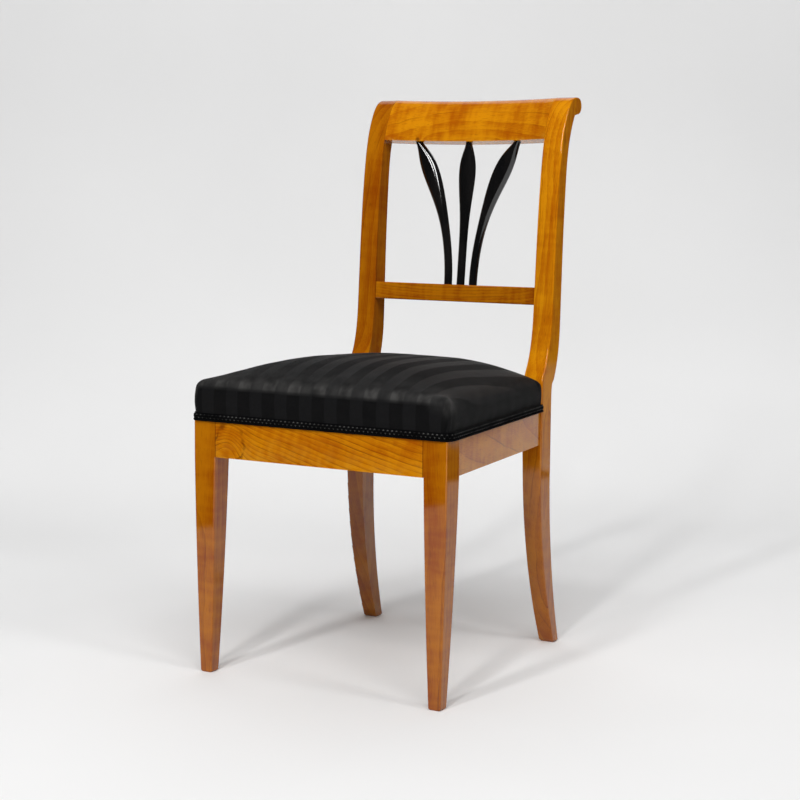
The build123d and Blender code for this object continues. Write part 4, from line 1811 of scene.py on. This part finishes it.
class StripRun(Enum):
    """Direction of a set of webbing strips."""

    LENGTHWISE = "lengthwise"
    CROSSWISE = "crosswise"


@dataclass
class SeatWebbing:
    """Interlaced jute strips that carry the seat.

    Attributes:
        plan: Plan of the seat frame.
        width: Width of a strip.
        thickness: Thickness of a strip.
        level: Height of the middle of the weave.
        lift: How far a strip rises and dips at the crossings.
        margin: Room between a strip's end and the rail's face.
        flat: How far past a crossing strip's edge a strip stays level.
        lengthwise: X of the lengthwise strips.
        crosswise: Y of the crosswise strips, from the front face.
        step: Distance between points along a strip.
        lines: Lines of points across a strip.
        wander: How far the strips stray to the side.
        wander_rate: Strays per metre.
        stretch: Change of width, as a share, for each metre of straying.
        border: How far from the middle of a strip its border lines lie.
    """

    plan: SeatPlan
    width: float = 0.050
    thickness: float = 0.0014
    level: float = 0.4125
    lift: float = 0.0008
    margin: float = 0.006
    flat: float = 0.002
    lengthwise: tuple[float, ...] = (-0.111, -0.037, 0.037, 0.111)
    crosswise: tuple[float, ...] = (0.070, 0.147, 0.224, 0.301)
    step: float = 0.003
    lines: int = 11
    wander: float = 0.0006
    wander_rate: float = 30.0
    stretch: float = 10.0
    border: float = 0.019

    def strip(self, low: float, high: float, crossings: Sequence[float], phase: int) -> np.ndarray:
        """Line of one strip over and under those that it crosses.

        Args:
            low: Where the strip starts.
            high: Where it ends.
            crossings: Middles of the strips that it crosses.
            phase: 0 where it first passes under, 1 where it first passes over.

        Returns:
            Rows of place and height.
        """
        places = np.linspace(low, high, round((high - low) / self.step))
        heights = np.full(len(places), -self.lift)
        reach = self.width / 2 + self.flat
        knots = [(low, -self.lift)]
        for index, crossing in enumerate(crossings):
            level = self.lift if (index + phase) % 2 else -self.lift
            knots += [(crossing - reach, level), (crossing + reach, level)]
        knots.append((high, -self.lift))
        for (a, first), (b, second) in zip(knots, knots[1:]):
            inside = (places >= a) & (places <= b)
            share = (places[inside] - a) / (b - a)
            heights[inside] = first + (second - first) * share * share * (3 - 2 * share)
        return np.column_stack([places, heights + self.level])

    def solid_strip(self, line: np.ndarray, seed: float) -> tuple[np.ndarray, np.ndarray]:
        """Closed sections of one strip.

        Args:
            line: Rows of place and height along the strip.
            seed: Number that its straying is drawn from.

        Returns:
            The sections as rows of (across, along, height), and the cloth places of their points.
        """
        across = np.linspace(-self.width / 2, self.width / 2, self.lines)
        ring = np.concatenate([across[::-1], across])
        side = np.repeat([self.thickness / 2, -self.thickness / 2], self.lines)
        rows = np.empty((len(line), len(ring), 3))
        cloth = np.empty((len(line), len(ring), 2))
        for i, (place, height) in enumerate(line):
            wander = noise.noise((place * self.wander_rate, seed, 0.0)) * self.wander
            rows[i] = np.column_stack(
                [ring * (1 + wander * self.stretch) + wander, np.full(len(ring), place), height + side]
            )
            cloth[i] = np.column_stack([ring, np.full(len(ring), place)])
        return rows, cloth.reshape(-1, 2)

    def build(self, run: StripRun) -> bpy.types.Object:
        """Model one set of strips.

        Args:
            run: Which way the strips run.

        Returns:
            The strips as one piece.
        """
        plan = self.plan
        bundle = TubeBundle()
        cloth = []
        lengthwise = run is StripRun.LENGTHWISE
        for index, seed in enumerate(self.lengthwise if lengthwise else self.crosswise):
            if lengthwise:
                crossings = [plan.front + place for place in self.crosswise]
                line = self.strip(plan.front + self.margin, plan.rear - self.margin, crossings, index)
                rows, places = self.solid_strip(line, seed)
                rows[:, :, 0] += seed
            else:
                y = plan.front + seed
                half = plan.half_width(y + self.width / 2) - self.margin
                line = self.strip(-half, half, self.lengthwise, index + 1)
                rows, places = self.solid_strip(line, seed)
                rows = rows[:, :, (1, 0, 2)] * (1.0, -1.0, 1.0)
                rows[:, :, 1] += y
            bundle.add_ring_rows(rows)
            cloth.append(places)
        strips = bundle.piece(f"{run.value}_strips")
        store_values(strips, CLOTH_PLACE, np.concatenate(cloth))
        strips.data.set_sharp_from_angle(angle=SMOOTH_CLOTH)
        return strips

    def dress(self) -> None:
        """Build both sets of strips in jute."""
        jute = PlainCloth(
            "jute_webbing", srgb(176, 141, 92), srgb(110, 80, 46), 0.0018, 0.0008, border_place=self.border
        )
        material = jute.material()
        for run in StripRun:
            strips = self.build(run)
            dress(strips, material)
            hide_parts(f"{run.value}_webbing")


@dataclass
class BaseCloth:
    """Hessian stretched over the webbing.

    Attributes:
        plan: Plan of the seat frame.
        level: Height of its underside.
        thickness: Thickness of the cloth.
        margin: Room between its edge and the rails' faces.
        rows_fore: Rows of points in front of the posts.
        rows_aft: Rows of points between the posts.
        lines_inner: Lines of points between the notches for the posts.
        lines_outer: Lines of points from a notch to the side.
    """

    plan: SeatPlan
    level: float = 0.4146
    thickness: float = 0.0008
    margin: float = 0.003
    rows_fore: int = 60
    rows_aft: int = 7
    lines_inner: int = 51
    lines_outer: int = 12

    def build(self) -> tuple[bpy.types.Object, float]:
        """Model the cloth.

        Returns:
            The cloth and its flat area.
        """
        plan = self.plan
        room = plan.clearance + self.margin
        notch = (plan.post_inner - room, plan.post_front - room)
        fore = np.linspace(plan.front + self.margin, notch[1], self.rows_fore)
        aft = np.linspace(notch[1], plan.rear - self.margin, self.rows_aft)
        inner = np.linspace(-1, 1, self.lines_inner) * notch[0]
        outer = np.linspace(0, 1, self.lines_outer)[1:]
        lines = [*(-notch[0] - outer[::-1]), *inner, *(notch[0] + outer)]
        flat, faces = plan.notched_grid(sorted({*fore, *aft}), lines, notch, -self.margin)
        lower = np.column_stack([flat, np.full(len(flat), self.level)])
        upper = lower + (0.0, 0.0, self.thickness)
        loop = np.array(border_loop(faces))
        shell = [tuple(i + len(flat) for i in face) for face in faces]
        shell += [face[::-1] for face in faces]
        shell += ring_faces(loop + len(flat), loop)
        cloth = new_piece("base_hessian", np.concatenate([lower, upper]), shell)
        cloth.data.set_sharp_from_angle(angle=SMOOTH_CLOTH)
        store_values(cloth, CLOTH_PLACE, np.concatenate([flat, flat]))
        corners = flat[np.array(faces)]
        first, second = corners[:, 2] - corners[:, 0], corners[:, 3] - corners[:, 1]
        area = 0.5 * np.abs(first[:, 0] * second[:, 1] - first[:, 1] * second[:, 0])
        return cloth, float(area.sum())

    def dress(self) -> None:
        """Build the cloth and give it its hessian finish."""
        cloth, area = self.build()
        finish = PlainCloth("hessian", srgb(172, 138, 92), srgb(96, 70, 42), 0.0013, 0.0009)
        dress(cloth, finish.material())
        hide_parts("hessian_base")


@dataclass(frozen=True)
class SoftBox:
    """One soft studio lamp.

    Attributes:
        name: Name of the lamp.
        right: Distance to the right of the chair, as the camera sees it.
        beyond: Distance beyond the chair, as the camera sees it.
        height: Height above the floor.
        size: Width and height of the lamp.
        power: Power in watts.
        mirrored: Whether it shows in polished wood.
    """

    name: str
    right: float
    beyond: float
    height: float
    size: tuple[float, float]
    power: float
    mirrored: bool = True


@dataclass
class Studio:
    """Camera, lamps and the paper that the chair stands on.

    Attributes:
        place: Where the camera stands.
        turn: How far the camera stands to the right of the chair's front, in degrees.
        pitch: How far it looks down, in degrees.
        roll: How far it is rolled, in degrees.
        lens: Focal length in millimetres.
        sensor: Width of the image that the focal length goes with, in millimetres.
        aim: Point that the lamps look at.
        boxes: The lamps.
        surround: Strength of the grey room round the paper.
        paper_left: Left edge of the paper in front of the wall, as the camera sees it.
        paper_right: Right edge of that paper.
        paper_near: Its near edge, behind the camera.
        wide_from: Where the wider paper starts, beyond the chair.
        wide_to: Where the wider paper ends.
        wide: Half the width of the wider paper.
        wall_half: Half the width of the paper that rises behind the chair.
        cove_start: Where the paper starts to rise.
        cove_radius: Radius of its rise.
        cove_steps: Steps of its rise.
        wall_top: Height of the paper.
        far_reach: How far the floor runs on around the paper.
        far_drop: How far that floor lies below the paper.
    """

    place: Triple = (1.38155, -2.44481, 0.73795)
    turn: float = 29.63
    pitch: float = 6.76
    roll: float = 0.5
    lens: float = 81.09
    sensor: float = 36.0
    aim: Triple = (0.0, 0.0, 0.45)
    boxes: tuple[SoftBox, ...] = (
        SoftBox("left_inner_box", -1.94, -5.44, 4.6, (0.45, 3.0), 115.0),
        SoftBox("left_outer_box", -3.24, -4.84, 4.6, (0.45, 3.0), 135.0),
        SoftBox("right_box", 4.6, -3.6, 4.6, (1.4, 2.6), 82.0),
        SoftBox("front_fill", 0.3, -4.0, 5.0, (4.0, 2.5), 165.0, mirrored=False),
        SoftBox("ceiling", 0.0, 0.2, 3.4, (3.6, 3.6), 34.0, mirrored=False),
    )
    surround: float = 0.03
    paper_left: float = -1.32
    paper_right: float = 1.63
    paper_near: float = -8.0
    wide_from: float = 1.1
    wide_to: float = 2.8
    wide: float = 4.2
    wall_half: float = 1.75
    cove_start: float = 1.15
    cove_radius: float = 1.0
    cove_steps: int = 16
    wall_top: float = 4.0
    far_reach: float = 14.0
    far_drop: float = 0.0015

    def axes(self) -> tuple[Vector, Vector]:
        """Directions to the right and beyond the chair, as the camera sees them.

        Returns:
            The two directions, level with the floor.
        """
        angle = math.radians(self.turn)
        right = Vector((math.cos(angle), math.sin(angle), 0.0))
        return right, Vector((-right.y, right.x, 0.0))

    def at(self, right: float, beyond: float, height: float) -> Vector:
        """Point given as the camera sees the floor."""
        rightwards, onwards = self.axes()
        return rightwards * right + onwards * beyond + Vector((0.0, 0.0, height))

    def set_camera(self) -> None:
        """Stand the camera where the photograph was taken."""
        right, ahead = self.axes()
        pitch = math.radians(self.pitch)
        roll = math.radians(self.roll)
        up = Vector((0.0, 0.0, 1.0))
        forward = ahead * math.cos(pitch) - up * math.sin(pitch)
        level_up = up * math.cos(pitch) + ahead * math.sin(pitch)
        rolled_right = right * math.cos(roll) + level_up * math.sin(roll)
        rolled_up = level_up * math.cos(roll) - right * math.sin(roll)
        data = bpy.data.cameras.new("camera")
        data.sensor_width = self.sensor
        data.lens = self.lens
        camera = bpy.data.objects.new("camera", data)
        turn = Matrix((rolled_right, rolled_up, -forward)).transposed()
        camera.matrix_world = Matrix.Translation(self.place) @ turn.to_4x4()
        bpy.context.scene.collection.objects.link(camera)
        bpy.context.scene.camera = camera

    def sweep(self) -> list[tuple[float, float]]:
        """Profile of the paper behind the chair.

        Returns:
            Its points as distance beyond the chair and height.
        """
        profile = [(self.wide_from, 0.0), (self.cove_start, 0.0)]
        for step in range(1, self.cove_steps + 1):
            angle = math.pi / 2 * step / self.cove_steps
            rise = self.cove_radius * (1 - math.cos(angle))
            profile.append((self.cove_start + self.cove_radius * math.sin(angle), rise))
        return [*profile, (profile[-1][0], self.wall_top)]

    def lay_paper(self) -> None:
        """Lay the paper, let it sweep up behind the chair, and carry the floor on beyond it."""
        flats = [
            (self.paper_left, self.paper_right, self.paper_near, self.wide_from),
            (-self.wide, -self.wall_half, self.wide_from, self.wide_to),
            (self.wall_half, self.wide, self.wide_from, self.wide_to),
        ]
        sheets = [[(left, right, near, 0.0), (left, right, far, 0.0)] for left, right, near, far in flats]
        sheets.append([(-self.wall_half, self.wall_half, *point) for point in self.sweep()])
        points: list[Vector] = []
        faces: list[Face] = []
        for sheet in sheets:
            first = len(points)
            for left, right, beyond, height in sheet:
                points += [self.at(left, beyond, height), self.at(right, beyond, height)]
            faces += [(i, i + 1, i + 3, i + 2) for i in range(first, len(points) - 2, 2)]
        paper = new_piece("paper_sweep", np.array(points), faces)
        reach = self.far_reach
        around = ((-reach, -reach), (reach, -reach), (reach, reach), (-reach, reach))
        far_points = np.array([(x, y, -self.far_drop) for x, y in around])
        far_floor = new_piece("far_floor", far_points, [(0, 1, 2, 3)])
        far_floor.visible_diffuse = False
        far_floor.visible_glossy = False
        finish = BackdropPaper().material()
        for piece in (paper, far_floor):
            piece.data.materials.append(finish)

    def hang_lamps(self) -> None:
        """Hang the soft lamps."""
        for box in self.boxes:
            data = bpy.data.lights.new(box.name, "AREA")
            data.shape = "RECTANGLE"
            data.size, data.size_y = box.size
            data.energy = box.power
            lamp = bpy.data.objects.new(box.name, data)
            lamp.location = self.at(box.right, box.beyond, box.height)
            look = Vector(self.aim) - lamp.location
            lamp.rotation_mode = "QUATERNION"
            lamp.rotation_quaternion = look.to_track_quat("-Z", "Y")
            lamp.visible_glossy = box.mirrored
            bpy.context.scene.collection.objects.link(lamp)

    def set_surround(self) -> None:
        """Set the grey room round the paper and the plain view transform."""
        world = bpy.data.worlds.new("studio")
        world.use_nodes = True
        ground = world.node_tree.nodes["Background"]
        ground.inputs["Color"].default_value = (1.0, 1.0, 1.0, 1.0)
        ground.inputs["Strength"].default_value = self.surround
        bpy.context.scene.world = world
        bpy.context.scene.view_settings.view_transform = "Standard"

    def build(self) -> None:
        """Set up the whole studio."""
        self.set_camera()
        self.lay_paper()
        self.hang_lamps()
        self.set_surround()
        LOG.info("studio ready")


def main() -> None:
    """Dress the chair piece by piece and set up the studio."""
    logging.basicConfig(level=logging.INFO, format="%(name)s %(message)s")
    Studio().build()
    WoodFrame().dress()
    Splat().dress()
    HiddenFixings().dress()
    plan = SeatPlan()
    SeatCushion(plan).dress()
    GimpBraid(plan).dress()
    SeatWebbing(plan).dress()
    BaseCloth(plan).dress()


if __name__ == "__main__":
    main()
